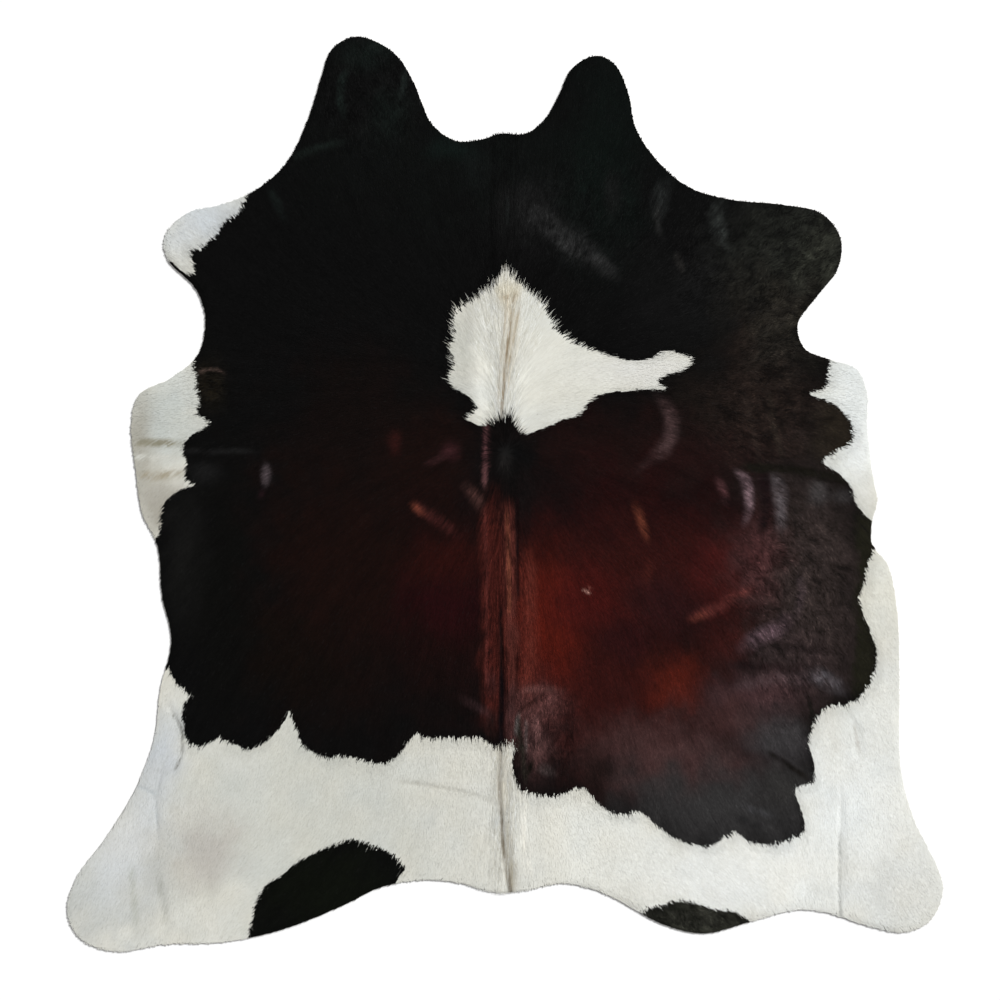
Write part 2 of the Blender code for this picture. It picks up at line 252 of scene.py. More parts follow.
# Broad swells of the hair side: centre, radius, height in mm.
SWELLS = {
    "left ear": ((-33, 100), 14, 0.8),
    "right ear": ((22, 98), 12, 0.8),
    "left foreleg": ((-74, 62), 14, 0.9),
    "right foreleg": ((73, 58), 14, 0.9),
    "left shoulder": ((-38, 42), 30, 1),
    "right shoulder": ((40, 44), 30, 1),
    "left flank": ((-56, -12), 26, 0.9),
    "right flank": ((60, -34), 28, 0.9),
    "left rump": ((-46, -82), 28, 1.1),
    "right rump": ((44, -86), 26, 1.1),
    "left hind leg": ((-94, -98), 16, 1.1),
    "right hind leg": ((96, -94), 16, 1.1),
}

# Narrow creases that only the hair shows, in the same columns as FOLDS.
CREASES = {
    "left belly crease": ((-81.6, -50), (-77.4, -58.4), (-80, -68), 7, -0.9),
    "left thigh crease": ((-81.8, -65), (-83.6, -72.5), (-83, -82.5), 7, -0.6),
    "left leg wrinkle": ((-89, -70.3), (-86.6, -70.6), (-84.4, -71.6), 7, -0.6),
    "rump crease": ((-25, -69.4), (-12, -71), (-2.4, -73.7), 8, -0.8),
    "tail furrow": ((-0.6, -60), (-1, -76), (1.9, -96), 8, -0.7),
    "right leg crease": ((80.4, -66), (80.3, -86), (80.4, -104), 9, -0.5),
    "back furrow": ((2.4, 48), (0.4, 34), (-1, 18), 8, -0.6),
    "upper furrow": ((2.9, -1), (2.9, -12), (3.1, -24), 7, -0.7),
    "lower furrow": ((-0.9, -27), (-0.9, -46), (-0.6, -64), 7, -0.8),
    "flank edge": ((55, 4.2), (70, 3.4), (84, 1.6), 9, -0.8),
    "thigh fold": ((61, -61), (67, -64), (74.4, -69), 12, 0.9),
    "back ridge": ((43.7, -31), (51.5, -28), (59.3, -23.3), 10, 0.4),
}

# Which way the hair lies at places on the right half: x, y and degrees from +X towards +Y.
# The left half mirrors it. All hair runs out from the whorl behind the shoulders.
HAIR_WAYS = [
    (0, 85, 90), (0, 60, 90), (0, 35, 90), (0, 15, 90),
    (0, 0, -90), (0, -25, -90), (0, -50, -90), (0, -75, -90), (0, -92, -90),
    (12, 60, 72), (12, 46, 52), (12, 30, 14), (12, 18, 0), (12, 8, -25), (12, -8, -55),
    (12, -30, -78), (12, -60, -85), (12, -85, -82),
    (25, 98, 82), (32, 100, 88), (30, 72, 72), (30, 50, 40), (30, 30, -4), (32, 8, -20),
    (30, -15, -50), (30, -40, -68), (30, -65, -75), (28, -90, -60),
    (55, 62, 55), (55, 45, 30), (55, 25, 0), (55, 5, -30), (55, -20, -48), (55, -45, -60),
    (55, -70, -62), (52, -95, -42),
    (76, 60, 35), (78, 25, -10), (80, 2, -45), (85, -30, -55), (85, -60, -66),
    (83, -80, -76), (84, -98, -72), (99, -98, -52),
]
WAY_REACH = 12 * CM  # how far one row of HAIR_WAYS is felt

# Where the hair is longer than elsewhere: x, y and radii.
LONG_HAIR = (0, 40, 17, 20)

# Where the hair curls: x, y, radii, strength.
CURLY = {
    "right foreleg": (70, 53, 18, 22, 1),
    "right shoulder": (49, 55, 11, 15, 0.7),
    "foreleg, rear": (64, 34, 9, 13, 0.9),
    "right elbow": (62, 20, 16, 14, 0.7),
    "right flank": (70, -24, 15, 28, 0.75),
    "left ear": (-32, 96, 14, 14, 0.7),
    "right of neck": (20, 66, 20, 16, 0.5),
    "left elbow": (-71, 26, 5, 6, 0.9),
    "loin": (9, -56, 9, 12, 0.6),
    "right rump": (47, -102, 14, 6, 0.8),
}

# Tints laid over the dark coat in turn: x, y, radii, turn in degrees, strength and colour.
# All coat colours are sRGB, as the lit coat looks from above.
DARK_BASE = (13, 13, 13)
DARK_TINTS = {
    "neck": (-4, 81, 50, 17, 0, 0.7, (14, 16, 15)),
    "left ear, tip": (-33, 106, 8, 4, 0, 0.8, (18, 23, 21)),
    "left ear, side": (-28, 90, 4, 6, 0, 0.6, (17, 22, 20)),
    "neck, left rim": (-13, 82.6, 5.5, 3.2, 0, 0.8, (17, 24, 22)),
    "neck, middle": (-7.6, 78, 2.8, 5, 0, 0.4, (21, 25, 24)),
    "right ear": (24, 82, 10, 24, 0, 0.8, (13, 18, 16)),
    # Painted sheen: the faint top of the shoulder's sheen.
    "neck, grey sheen": (5, 68, 7, 8, 0, 0.8, (25, 25, 25)),
    "neck, right smear": (26, 72, 2, 5, 0, 0.6, (23, 23, 23)),
    "right shoulder": (45, 46, 18, 13, 0, 0.9, (18, 18, 18)),
    "foreleg, olive": (68, 60, 16, 11, 0, 0.9, (28, 29, 26)),
    "foreleg, light": (76, 57, 6, 8, 0, 0.7, (43, 44, 38)),
    "foreleg, brown": (67, 42, 12, 12, 0, 0.9, (31, 29, 25)),
    "foreleg, red": (57.5, 36, 4, 7, 0, 0.5, (33, 25, 22)),
    "foreleg, curls": (64.5, 34, 6, 9, 0, 0.6, (38, 35, 31)),
    "behind the foreleg": (46, 23, 10, 9, 0, 0.8, (22, 19, 17)),
    "right elbow": (62, 18, 15, 13, 0, 0.9, (33, 26, 23)),
    "right elbow, rim": (79, 14, 5, 8, 0, 0.9, (38, 33, 26)),
    "shoulder, wine": (42, 9, 20, 8, 0, 0.8, (33, 20, 19)),
    "below the patch": (20, 11, 20, 12, 0, 0.9, (27, 16, 15)),
    "left back, wide": (-38, -17, 22, 33, 0, 0.9, (24, 14, 12)),
    "left back, rear": (-52, -40, 12, 12, 0, 0.8, (17, 13, 11)),
    "left shoulder": (-36, 22, 14, 14, 0, 0.8, (18, 13, 12)),
    "left of whorl": (-18, 9, 11, 13, 0, 0.8, (24, 14, 12)),
    # Painted highlights: small sheen marks on the glossy left back.
    "left back, highlight": (-26.4, 12.2, 1.5, 2.8, 10, 0.36, (62, 27, 25)),
    "left back, pink highlight": (-12.8, 10.4, 2, 2.2, 0, 0.3, (72, 38, 42)),
    "left of spine": (-14, -24, 13, 26, 0, 0.8, (27, 13, 12)),
    "left back, rust": (-13, -16, 11, 6, 8, 0.9, (41, 16, 14)),
    "left back, wine": (-14, -27, 11, 8, 0, 0.8, (34, 12, 14)),
    "left flank": (-68, -22, 8, 30, 0, 0.9, (13, 13, 12)),
    "left flank, rim": (-77, -14, 5, 16, 0, 0.7, (22, 22, 21)),
    "left fold, grey": (-72, 5, 4, 2.5, 0, 0.7, (26, 26, 26)),
    "left elbow": (-71, 26, 4, 6, 0, 0.9, (24, 21, 16)),
    "right back": (30, -10, 26, 18, 0, 0.95, (33, 14, 14)),
    "right back, red": (34, -20, 22, 14, 0, 0.9, (45, 19, 17)),
    "right loin": (22, -46, 22, 18, 0, 0.9, (48, 19, 17)),
    "rust": (9, -30, 8, 16, 0, 1, (76, 24, 17)),
    "rust, outer": (20, -25, 9, 8, 20, 0.8, (63, 20, 18)),
    "plum": (39, -27, 9, 7, -20, 0.7, (40, 20, 21)),
    "plum, lower": (29, -35, 6, 6, 0, 0.7, (40, 17, 18)),
    "hip, upper": (52, -18, 8, 10, 0, 0.9, (58, 21, 20)),
    "hip, wine": (53, -36, 6, 6, 0, 0.7, (57, 23, 21)),
    "hip, rust": (41, -46, 8, 7, 10, 1, (74, 27, 20)),
    # Painted sheen on the right flank: its mauve-grey glow and the pale highlights at its front.
    "right flank": (72, -22, 14, 28, 0, 0.95, (49, 41, 39)),
    "flank, pink sheen": (61, -15, 6, 12, 0, 0.8, (64, 39, 39)),
    "flank, front light": (75.4, 0.2, 2.4, 2.8, 0, 0.65, (68, 65, 65)),
    "flank, front light 2": (81, -0.6, 2.4, 1.6, 0, 0.5, (66, 63, 63)),
    "flank, rear sheen": (68, -42, 12, 9, 0, 0.6, (54, 43, 43)),
    "thigh, pink": (60, -48, 11, 5, 0, 0.9, (65, 45, 46)),
    "thigh, mauve": (39.5, -63, 20, 9, -8, 1, (65, 44, 43)),
    "right thigh": (53, -76, 25, 11, -7, 1, (48, 47, 47)),
    "thigh, upper": (55, -54, 9, 5, -10, 0.9, (60, 39, 38)),
    "thigh, rear": (68, -70, 6.5, 5, 0, 0.8, (48, 47, 46)),
    "thigh, light": (66, -58.5, 8, 6, -25, 0.9, (58, 56, 57)),
    # Painted sheen on the loin.
    "loin, sheen haze": (8, -51, 6, 6, 0, 0.7, (78, 49, 47)),
    "loin, band": (7.6, -60, 4.2, 8, 0, 0.8, (70, 48, 47)),
    "rump, dark": (22, -69, 4, 8, 0, 0.9, (29, 20, 19)),
    "whorl": (3, 8, 7, 9, 0, 1, (13, 13, 13)),
    "whorl, grey": (0.2, 7, 1.6, 3, 0, 0.5, (34, 32, 31)),
    "whorl, right": (10, 2, 7, 6, 0, 0.7, (19, 14, 14)),
    "left rump": (-44, -94, 18, 13, 0, 1, (15, 17, 13)),
    "right rump": (47, -102, 16, 6, 0, 1, (42, 42, 37)),
}

# Streaks of the dark coat: start, middle, end, half width in mm, strength, colour.
DARK_STREAKS = {
    # Painted sheen along the spine: bands of light, lighter and darker, on the glossy hair either
    # side of it.
    "spine, left sheen": ((-3.2, 4), (-3, -30), (-3.2, -60), 40, 1.1, (63, 27, 23)),
    "spine, right sheen": ((5, -9), (5.8, -32), (5.4, -51), 34, 0.7, (86, 38, 31)),
    "spine, middle": ((0.8, 0), (1.2, -22), (1.8, -54), 27, 1.1, (75, 37, 32)),
    "left sheen, light": ((-4.9, -2), (-4.4, -22), (-4.6, -46), 6, 0.35, (88, 44, 40)),
    "left sheen, dark": ((-3.1, -4), (-3, -26), (-3.2, -50), 6, 0.2, (42, 16, 15)),
    "middle, light": ((0.5, -3), (0.8, -15), (1, -30), 9, 0.5, (106, 60, 44)),
    "spine, lower": ((2.2, -42), (1.8, -53), (1.6, -64), 24, 0.8, (60, 38, 37)),
    "left sheen, lower": ((-3.4, -40), (-3.4, -46), (-3.2, -52), 24, 0.4, (52, 34, 34)),
    "left sheen, foot": ((-2.8, -50), (-3, -55), (-3.2, -61), 28, 0.75, (28, 19, 18)),
    # Painted shade in the furrows along the spine.
    "upper furrow": ((2.9, 0), (2.9, -12), (3.1, -26), 6, 0.85, (24, 14, 15)),
    "lower furrow": ((-0.9, -26), (-0.9, -44), (-0.7, -64), 8, 0.9, (22, 14, 14)),
    "furrow's end": ((-0.9, -42), (-0.8, -54), (-0.7, -69), 11, 1.1, (17, 13, 15)),
    # Painted sheen at the edge of the whorl.
    "whorl, light edge": ((-4.4, 18.4), (-4.6, 9.6), (-4.8, 2), 7, 0.8, (88, 57, 59)),
    "whorl, edge's foot": ((-4.4, 8.6), (-4.9, 4.6), (-4.6, 0.4), 9, 0.5, (92, 62, 62)),
    "whorl, sheen": ((-10.6, 3.2), (-7.2, -0.4), (-4.6, -6), 24, 0.5, (84, 56, 52)),
    "neck, fine hairs": ((0.2, 72), (0.6, 68), (0.4, 63), 9, 0.4, (34, 38, 37)),
    "left ear, arc": ((-37.2, 103), (-39.4, 96), (-37.8, 88.6), 16, 0.5, (29, 37, 34)),
    "left ear, right arc": ((-24.4, 103), (-24.2, 98.6), (-26.6, 93), 15, 0.5, (30, 36, 34)),
    "left of neck": ((-51, 79.6), (-46, 82.6), (-36, 84.8), 17, 0.45, (29, 36, 33)),
    "left shoulder": ((-57.4, 74.4), (-54.8, 70), (-52, 63.6), 16, 0.45, (27, 33, 31)),
    # Painted highlights on the folds of the neck and foreleg, and painted sheen across the
    # shoulder.
    "right neck": ((40.6, 77.6), (37.4, 70.6), (37.6, 64.6), 30, 0.48, (45, 48, 47)),
    "right neck, tail": ((38.6, 71), (36.2, 66), (38.6, 60), 16, 0.4, (48, 48, 47)),
    "right neck, highlight": ((40.4, 59), (41.6, 55.8), (43, 52), 15, 0.45, (46, 44, 42)),
    "foreleg root": ((54, 73.6), (50.6, 65.4), (56, 56), 31, 0.62, (48, 51, 49)),
    "shoulder, sheen haze": ((1.6, 72.4), (13.4, 62.6), (28.6, 50.6), 48, 0.5, (38, 38, 38)),
    "shoulder sheen": ((8, 65.6), (15.4, 59.6), (21.4, 56.2), 27, 0.35, (50, 50, 50)),
    "shoulder, bright": ((18, 59.4), (23, 55.4), (28, 50.6), 29, 0.36, (54, 54, 54)),
    "shoulder arc": ((34, 25.6), (39.8, 14.6), (29.4, 4.4), 28, 0.6, (76, 58, 58)),
    "elbow, streak 1": ((57, 25), (59.6, 15), (60.8, 5.6), 14, 0.3, (46, 39, 35)),
    "elbow, streak 2": ((63, 26), (64.4, 16), (67, 7), 13, 0.3, (46, 41, 35)),
    # On the right flank, the light rows and the streak are painted highlights under its fold; the
    # dark row between them and the front edge are painted shade.
    "flank, light 0": ((50.2, 4.6), (52, 1.2), (53.2, -3.6), 19, 0.4, (92, 60, 62)),
    "flank, light 1": ((54, 6.6), (58.4, 0.6), (56.4, -9), 18, 0.66, (114, 94, 99)),
    "flank, dark 1": ((61.4, 9), (62.2, -2), (60.4, -12), 24, 1, (25, 17, 18)),
    "flank, light 2": ((64.6, 7.4), (65.8, -1.6), (66, -11.4), 26, 0.8, (77, 71, 73)),
    "flank, front edge": ((55, 6.4), (70, 5.4), (84, 2.8), 19, 1.5, (23, 21, 17)),
    "flank, streak": ((70.2, -18), (71.2, -24), (69.2, -31), 17, 0.3, (82, 68, 72)),
    "flank, rim": ((85.8, 2), (87, -28), (84, -52), 44, 1.7, (30, 29, 22)),
    # Painted highlights on the hip and along the back's ridge.
    "hip, light": ((30, 0), (32.8, -6.4), (35, -13), 20, 0.42, (110, 58, 43)),
    "hip, faint light": ((34.6, -14), (34.2, -19), (33.4, -24), 20, 0.2, (84, 38, 31)),
    "back ridge": ((42, -31.4), (51.6, -26.6), (61.4, -21), 24, 0.36, (96, 48, 44)),
    "back ridge, end": ((42.8, -31), (46.4, -29.6), (50.4, -27.8), 16, 0.18, (108, 56, 42)),
    # Below the flank: painted shade in its hollow, and painted sheen in the light rows and the
    # lower band.
    "flank, hollow": ((52, -40.6), (63, -41.6), (75, -41.8), 20, 0.8, (30, 21, 22)),
    "flank, upper light": ((53.6, -38.6), (63, -33.4), (72, -28), 34, 0.6, (88, 70, 76)),
    "flank, dark spots": ((62, -36.4), (70, -37.2), (80, -37.6), 16, 0.6, (30, 24, 24)),
    "flank, lower band": ((52, -46), (65, -44.8), (78, -44.2), 28, 0.5, (72, 58, 60)),
    "flank, lower light": ((70, -43), (77, -44.8), (83, -49.6), 32, 0.6, (82, 79, 83)),
    # Painted shade at the thigh's rim and in the hollows of thigh and rump, with a painted
    # highlight between them.
    "thigh, rim": ((71.8, -46), (73.7, -53), (72.8, -59), 13, 0.9, (23, 21, 19)),
    "thigh, hollow": ((61.4, -60.8), (67.6, -64.8), (74.6, -69.8), 13, 0.8, (26, 24, 22)),
    "rump, light": ((55, -74.2), (60.4, -75.8), (66, -78), 15, 0.5, (64, 64, 66)),
    "rump, hollow": ((54, -76.4), (58.5, -78.8), (63.6, -80.8), 16, 0.6, (28, 28, 28)),
    # Painted sheen on the loin.
    "loin, upper sheen": ((2.2, -47.6), (8, -46.8), (15, -47.2), 15, 0.42, (94, 64, 61)),
    "loin, lower sheen": ((14.6, -47), (10.4, -49.4), (7.2, -54), 19, 0.5, (96, 62, 60)),
    "loin, dark": ((3.2, -52), (3.8, -60), (5.2, -71), 14, 0.9, (34, 31, 27)),
    "loin, grey": ((3.8, -51.8), (2.9, -55), (2.4, -59), 8, 0.6, (82, 76, 74)),
    "loin, notch": ((8.4, -48.6), (5.6, -50.6), (2.6, -52.8), 12, 1, (42, 23, 21)),
    "loin, pink band": ((7.2, -51.6), (7.9, -58), (7.5, -66), 15, 0.6, (92, 64, 62)),
    "loin, grey strip": ((4.9, -53.4), (5.1, -58), (5, -63.4), 7, 0.6, (80, 71, 69)),
    "loin, comma": ((6.8, -62.8), (6.1, -65.4), (4.2, -69.2), 12, 1, (18, 16, 13)),
    "loin, foot": ((6.6, -65.6), (9.8, -66.4), (13.2, -67.6), 20, 0.55, (66, 57, 56)),
    # Painted sheen on the left loin.
    "left loin, sheen": ((-13, -47.6), (-6.8, -51.2), (-0.6, -54.4), 17, 0.5, (50, 35, 36)),
    # A painted highlight on the left flank's ridge with painted shade under it, and a painted
    # highlight along the left fold.
    "left flank, light": ((-57.4, 8.4), (-57.3, 4.4), (-57.8, 0.2), 15, 0.7, (80, 71, 74)),
    "left flank, shade": ((-58, 2), (-58.4, 0), (-58.8, -2), 14, 0.4, (42, 26, 30)),
    "left fold, light": ((-78, 10.6), (-69, 10.3), (-58, 10.4), 12, 0.45, (30, 30, 30)),
    # Painted highlights on the left back and its ridge.
    "left back 2": ((-20.4, 7.2), (-16, 8.4), (-10.8, 12.4), 15, 0.26, (76, 46, 48)),
    "left back 3": ((-22.8, -1.2), (-17, -5.8), (-8.6, -11.8), 21, 0.27, (84, 42, 40)),
    "left back 3, head": ((-22.8, -1.4), (-21, -3.4), (-17.4, -5.8), 14, 0.42, (114, 60, 46)),
    "elbow, curls": ((-74.6, 27.6), (-70.6, 30), (-66.4, 28), 7, 0.6, (66, 54, 49)),
    "scar": ((18, -22.9), (19.4, -23.4), (20.9, -23.9), 4, 0.9, (186, 140, 128)),
    "scar, fork": ((18.8, -22.9), (20.4, -22.5), (21.6, -22.9), 4, 0.6, (122, 72, 64)),
}

# The same for the white hair.
WHITE_BASE = (209, 208, 199)
WHITE_TINTS = {
    "left of tail": (-50, -78, 38, 30, 0, 1, (194, 195, 187)),
    "left hind leg": (-98, -96, 16, 13, 0, 1, (187, 189, 185)),
    "left leg, upper": (-91, -84, 8, 13, -20, 0.9, (202, 204, 203)),
    "left leg, edge": (-83, -64, 6, 13, -15, 1, (189, 193, 195)),
    "left thigh, stain": (-72, -85, 9, 9, 25, 1, (181, 177, 169)),
    "left leg, warm": (-83, -89, 5, 9, 0, 0.9, (183, 183, 177)),
    "right of tail": (24, -84, 20, 16, 0, 1, (220, 220, 212)),
    "right rump": (58, -92, 26, 13, 0, 1, (230, 231, 226)),
    "right hind leg": (84, -76, 22, 26, 0, 1, (229, 231, 227)),
    "right paw": (97, -94, 13, 10, 0, 0.9, (216, 217, 212)),
    "right belly": (90, -52, 7, 13, 0, 0.9, (224, 225, 219)),
    "right flank": (89, -24, 7, 13, 0, 1, (219, 218, 207)),
    "right elbow": (84, 20, 11, 18, 0, 1, (226, 229, 226)),
    "right elbow, lower": (86, 11, 6, 8, 0, 0.8, (234, 236, 232)),
    "left elbow": (-82, 18, 10, 11, 0, 1, (187, 191, 186)),
    "left elbow, edge": (-88, 12, 4, 14, 0, 0.9, (160, 157, 146)),
    "left flank": (-83, -3, 6, 9, 0, 1, (162, 158, 147)),
    "back": (14, 34, 15, 17, 0, 0.9, (219, 219, 210)),
    # Painted shade on the patch's left side.
    "back, grey shade": (-10.6, 33, 4.4, 10, 0, 0.8, (190, 191, 183)),
    "back, lower left": (-9, 23, 4, 5, 0, 0.6, (196, 195, 186)),
    "back, left light": (-4.6, 30, 3, 17, 0, 0.9, (227, 227, 218)),
    "back, right": (33, 30, 13, 4, 0, 0.8, (217, 215, 208)),
    "back, tip": (1, 48.5, 3, 3, 0, 0.8, (206, 198, 175)),
    "left foreleg": (-72, 66, 13, 9, 0, 1, (200, 204, 205)),
}

WHITE_STREAKS = {
    "elbow, upper band": ((-91, 12.4), (-84, 12.2), (-75, 12.6), 15, 0.9, (136, 132, 114)),
    "elbow, between": ((-91, 9), (-83, 8.8), (-75, 9.2), 13, 0.7, (196, 196, 188)),
    "elbow, lower band": ((-90, 5), (-83, 4.4), (-74, 5.6), 19, 0.8, (154, 147, 129)),
    "back, tan": ((2.2, 52), (1.4, 38), (-0.6, 20), 28, 0.6, (208, 201, 184)),
    "back, upper tan": ((2.2, 51), (2, 43), (0.8, 33), 20, 0.45, (194, 183, 158)),
    # Painted shadow, in tan, under the tuft at the patch's tip.
    "back, shoulder shadow": ((-2.6, 46.8), (1, 47.2), (4.6, 46.8), 8, 0.5, (160, 142, 116)),
    # Tan strands along the spine, darkened by painted shade in its furrow.
    "back, furrow": ((2.5, 49), (0.4, 34), (-1.1, 16), 7, 0.75, (142, 126, 102)),
    "back, furrow 2": ((3.8, 46), (2, 37), (0.2, 26), 6, 0.5, (162, 148, 124)),
    "back, furrow 3": ((0.6, 46), (-0.8, 35), (-1.8, 21), 5, 0.45, (170, 156, 133)),
    "tail, tan": ((0.2, -56), (-0.2, -76), (2.6, -97), 26, 0.45, (190, 184, 168)),
    # Painted shade in the tail's furrow, over its tan strands.
    "tail, furrow": ((-0.6, -59), (-1, -76), (2, -98), 9, 0.55, (118, 110, 98)),
    "tail, lower furrow": ((-1, -74), (-0.2, -86), (2, -98), 9, 0.7, (108, 100, 86)),
    "tail, strands": ((0.2, -80), (1.2, -87), (2.8, -98), 15, 0.4, (156, 149, 130)),
    "tail, cream": ((4, -66), (4.4, -80), (6.4, -95), 18, 0.5, (225, 222, 211)),
    # Painted shade in the creases, wrinkles and hollows of the white hair, and beside the right
    # leg's crease.
    "rump crease": ((-28, -68.6), (-12, -71), (-0.6, -74.6), 10, 0.5, (180, 178, 168)),
    "left belly crease": ((-80.6, -52), (-77.2, -58.6), (-79.8, -67), 6, 1, (126, 126, 120)),
    "left thigh crease": ((-83, -65), (-83.8, -73.5), (-83, -83.5), 6, 0.5, (168, 172, 172)),
    "left leg wrinkle": ((-91, -69.8), (-86.6, -70.6), (-82.6, -72.8), 7, 0.5, (168, 174, 176)),
    "left leg hollow": ((-83.6, -89), (-82, -98), (-80.2, -108), 19, 0.5, (168, 168, 160)),
    "left paw hollow": ((-90.2, -87), (-89, -97), (-88.4, -108), 18, 0.5, (172, 174, 166)),
    "right leg crease": ((80.4, -80), (80.3, -94), (80.4, -106), 8, 0.6, (150, 151, 147)),
    "right belly wrinkle": ((83.8, -54), (84.4, -59), (85.4, -64), 8, 0.5, (186, 182, 174)),
    "right leg, shade": ((82, -80), (83, -92), (83, -106), 44, 0.5, (214, 215, 210)),
}

COAT_LIGHT = 1.08  # brightness of a white thing that lies on the rug
DARKEST = 0.0005
SHADES = (0.4, 2.2)  # least and most that noise makes of a colour
TINT_EDGE = 1.4  # how firmly a tint ends
BLUE_LOSS = 1.5  # what blue loses for each bit of red that warmth adds
TINT_STRAY = 0.28  # how far a tint strays, as a share of its smaller radius
STREAK_STRAY = 0.18  # how far a streak strays, as a share of its half width

# How each coat varies. gloss is the light that its surface adds to every colour. ragged is how
# much fine strands and mottle thin its streaks. fine, broad, cloud, curls and warmth are how much
# of that noise shows: a pair is the share everywhere, and what the spine (fine, broad) or the
# curls (cloud) add. spread is how much locks differ: everywhere, in long hair, in curls and in
# long wisps. tilt is how far that shows in red, green and blue.
COATS = {
    "dark": {
        "base": DARK_BASE, "tints": DARK_TINTS, "streaks": DARK_STREAKS,
        "gloss": 0.0022, "ragged": (0.4, 0.45), "fine": (0.16, 0.2), "broad": (0.12, 0),
        "cloud": (0.08, 0.24), "curls": 0.85, "warmth": 0,
        "spread": (0.1, 0.2, 0.25, 0), "tilt": (1, 1, 1),
    },
    "white": {
        "base": WHITE_BASE, "tints": WHITE_TINTS, "streaks": WHITE_STREAKS,
        "gloss": 0.004, "ragged": (0.9, 0.25), "fine": (0.02, 0.18), "broad": (0.018, 0.03),
        "cloud": (1, 0), "curls": 0, "warmth": 1,
        "spread": (0.02, 0, 0, 0.1), "tilt": (0.9, 1, 1.3),
    },
}

# Noise drawn out along the hair: its direction map, strand width and reach in mm, seed.
STRANDS = {
    "fine": ("way", 3, 18, 41),
    "broad": ("way", 14, 70, 42),
    "curls": ("curling", 4.5, 16, 43),
}

# Soft noises, each a sum of parts: weight, size of its bumps in cm, seed.
NOISES = {
    "stray along x": [(1, 5, 11), (0.5, 1.8, 13)],
    "stray along y": [(1, 5, 12), (0.5, 1.8, 14)],
    "crease depth": [(0.45, 2.2, 27)],
    "mottle": [(1, 1.6, 36), (0.6, 0.6, 37)],
    "dark cloud": [(1, 2.6, 31), (0.7, 1.1, 35)],
    "white cloud": [(0.022, 3.5, 32), (0.012, 1.2, 33)],
    "warmth": [(0.012, 6, 34)],
    "turn": [(0.1, 3, 21), (0.06, 0.8, 22)],
    "curl": [(1, 2.2, 23)],
    "curling": [(1.6, 1.8, 26)],
    "teeth": [(3.5 * MM, 1.1, 24), (2.5 * MM, 0.5, 25)],
}

# Materials: colour, or None for the painted coat; grains (scale, detail, roughness, lowest and
# highest noise, darkest and lightest shade), the last of which is the bump; the bump's strength
# and height; roughness and sheen.
CLOUD = (6, 4, 0.6, 0.3, 0.7, 0.8, 1.15)
FINISHES = {
    "lying_dark_hair": (None, [(1, 2, 0.6, 0.25, 0.75, 0.62, 1.38)], (0.5, 0.4 * MM), 0.5, 0.04),
    "lying_white_hair": (None, [(1, 2, 0.6, 0.25, 0.75, 0.94, 1.05)], (0.5, 0.4 * MM), 0.6, 0.15),
    "undercoat": (None, [(420, 3, 0.6, 0.3, 0.7, 0.85, 1)], (0.6, 0.6 * MM), 0.8, 0.1),
    "suede": ((0.40, 0.35, 0.29, 1), [CLOUD, (300, 5, 0.7, 0.3, 0.7, 0.86, 1.1)],
              (0.5, 0.5 * MM), 0.92, 0.15),
    "cut_edge": ((0.46, 0.42, 0.36, 1), [CLOUD, (900, 5, 0.7, 0.3, 0.7, 0.86, 1.1)],
                 (0.5, 0.5 * MM), 0.92, 0.15),
}
STRETCH = (5, 0.5, 1)  # of the grain across and along a lock
MIX_A, MIX_B, MIX_OUT = 6, 7, 2  # colour sockets of a mix node

# The camera looks straight down on the middle of the picture. Lengths in metres, turns in degrees.
PICTURE_WIDTH = 2.40
PICTURE_CENTRE = (-0.012, -0.0144)
CAMERA_HEIGHT = 6.0
CAMERA_REACH = 100.0
SENSOR = 36.0  # millimetres
FLOOR = (0.86, 0.86, 0.86, 1.0)
FLOOR_REACH = 30.0
FLOOR_DROP = 0.3 * MM
KEY_ELEVATION, KEY_AZIMUTH, KEY_SPREAD = 36, 45, 24
KEY_LIGHT = 2.78  # on the floor
FILL_LIGHT = 0.34

# A grid of nodes over the whole hide, for maps of heights, directions and colours.
GRID_START = np.array(cad_low[:2]) - GRID_MARGIN
GRID_SHAPE = tuple(
    int(np.ceil((cad_high[axis] - cad_low[axis] + 2 * GRID_MARGIN) / GRID_STEP)) + 1
    for axis in (1, 0)
)
GRID = np.column_stack([
    nodes.ravel() for nodes in np.mgrid[0:GRID_SHAPE[0], 0:GRID_SHAPE[1]][::-1]
]) * GRID_STEP + GRID_START


# Curves, noise and maps


def hermite_span(before, start, end, after, steps):
    """Points from start up to end on a centripetal Catmull-Rom span."""
    gap_before, gap, gap_after = (
        math.sqrt(np.linalg.norm(b - a)) for a, b in ((before, start), (start, end), (end, after))
    )
    chord = (end - start) / gap
    leave = gap * ((start - before) / gap_before - (end - before) / (gap_before + gap) + chord)
    arrive = gap * (chord - (after - start) / (gap + gap_after) + (after - end) / gap_after)
    t = np.linspace(0.0, 1.0, steps, endpoint=False)[:, None]
    return (
        (2 * t**3 - 3 * t**2 + 1) * start
        + (t**3 - 2 * t**2 + t) * leave
        + (3 * t**2 - 2 * t**3) * end
        + (t**3 - t**2) * arrive
    )


def smooth_loop(points_cm, spacing):
    """Evenly spaced points on a smooth closed curve through the given points."""
    corners = np.array(points_cm) * CM
    count = len(corners)
    dense = np.vstack([
        hermite_span(*(corners[(i + k) % count] for k in (-1, 0, 1, 2)), CURVE_STEPS)
        for i in range(count)
    ])
    loop = np.vstack((dense, dense[:1]))
    travelled = np.concatenate(([0.0], np.cumsum(np.linalg.norm(np.diff(loop, axis=0), axis=1))))
    number = round(travelled[-1] / spacing)
    wanted = np.arange(number) * travelled[-1] / number
    return np.column_stack([np.interp(wanted, travelled, loop[:, axis]) for axis in (0, 1)])


def joined(stretches):
    """The points of all named stretches in one list."""
    return [point for stretch in stretches.values() for point in stretch]


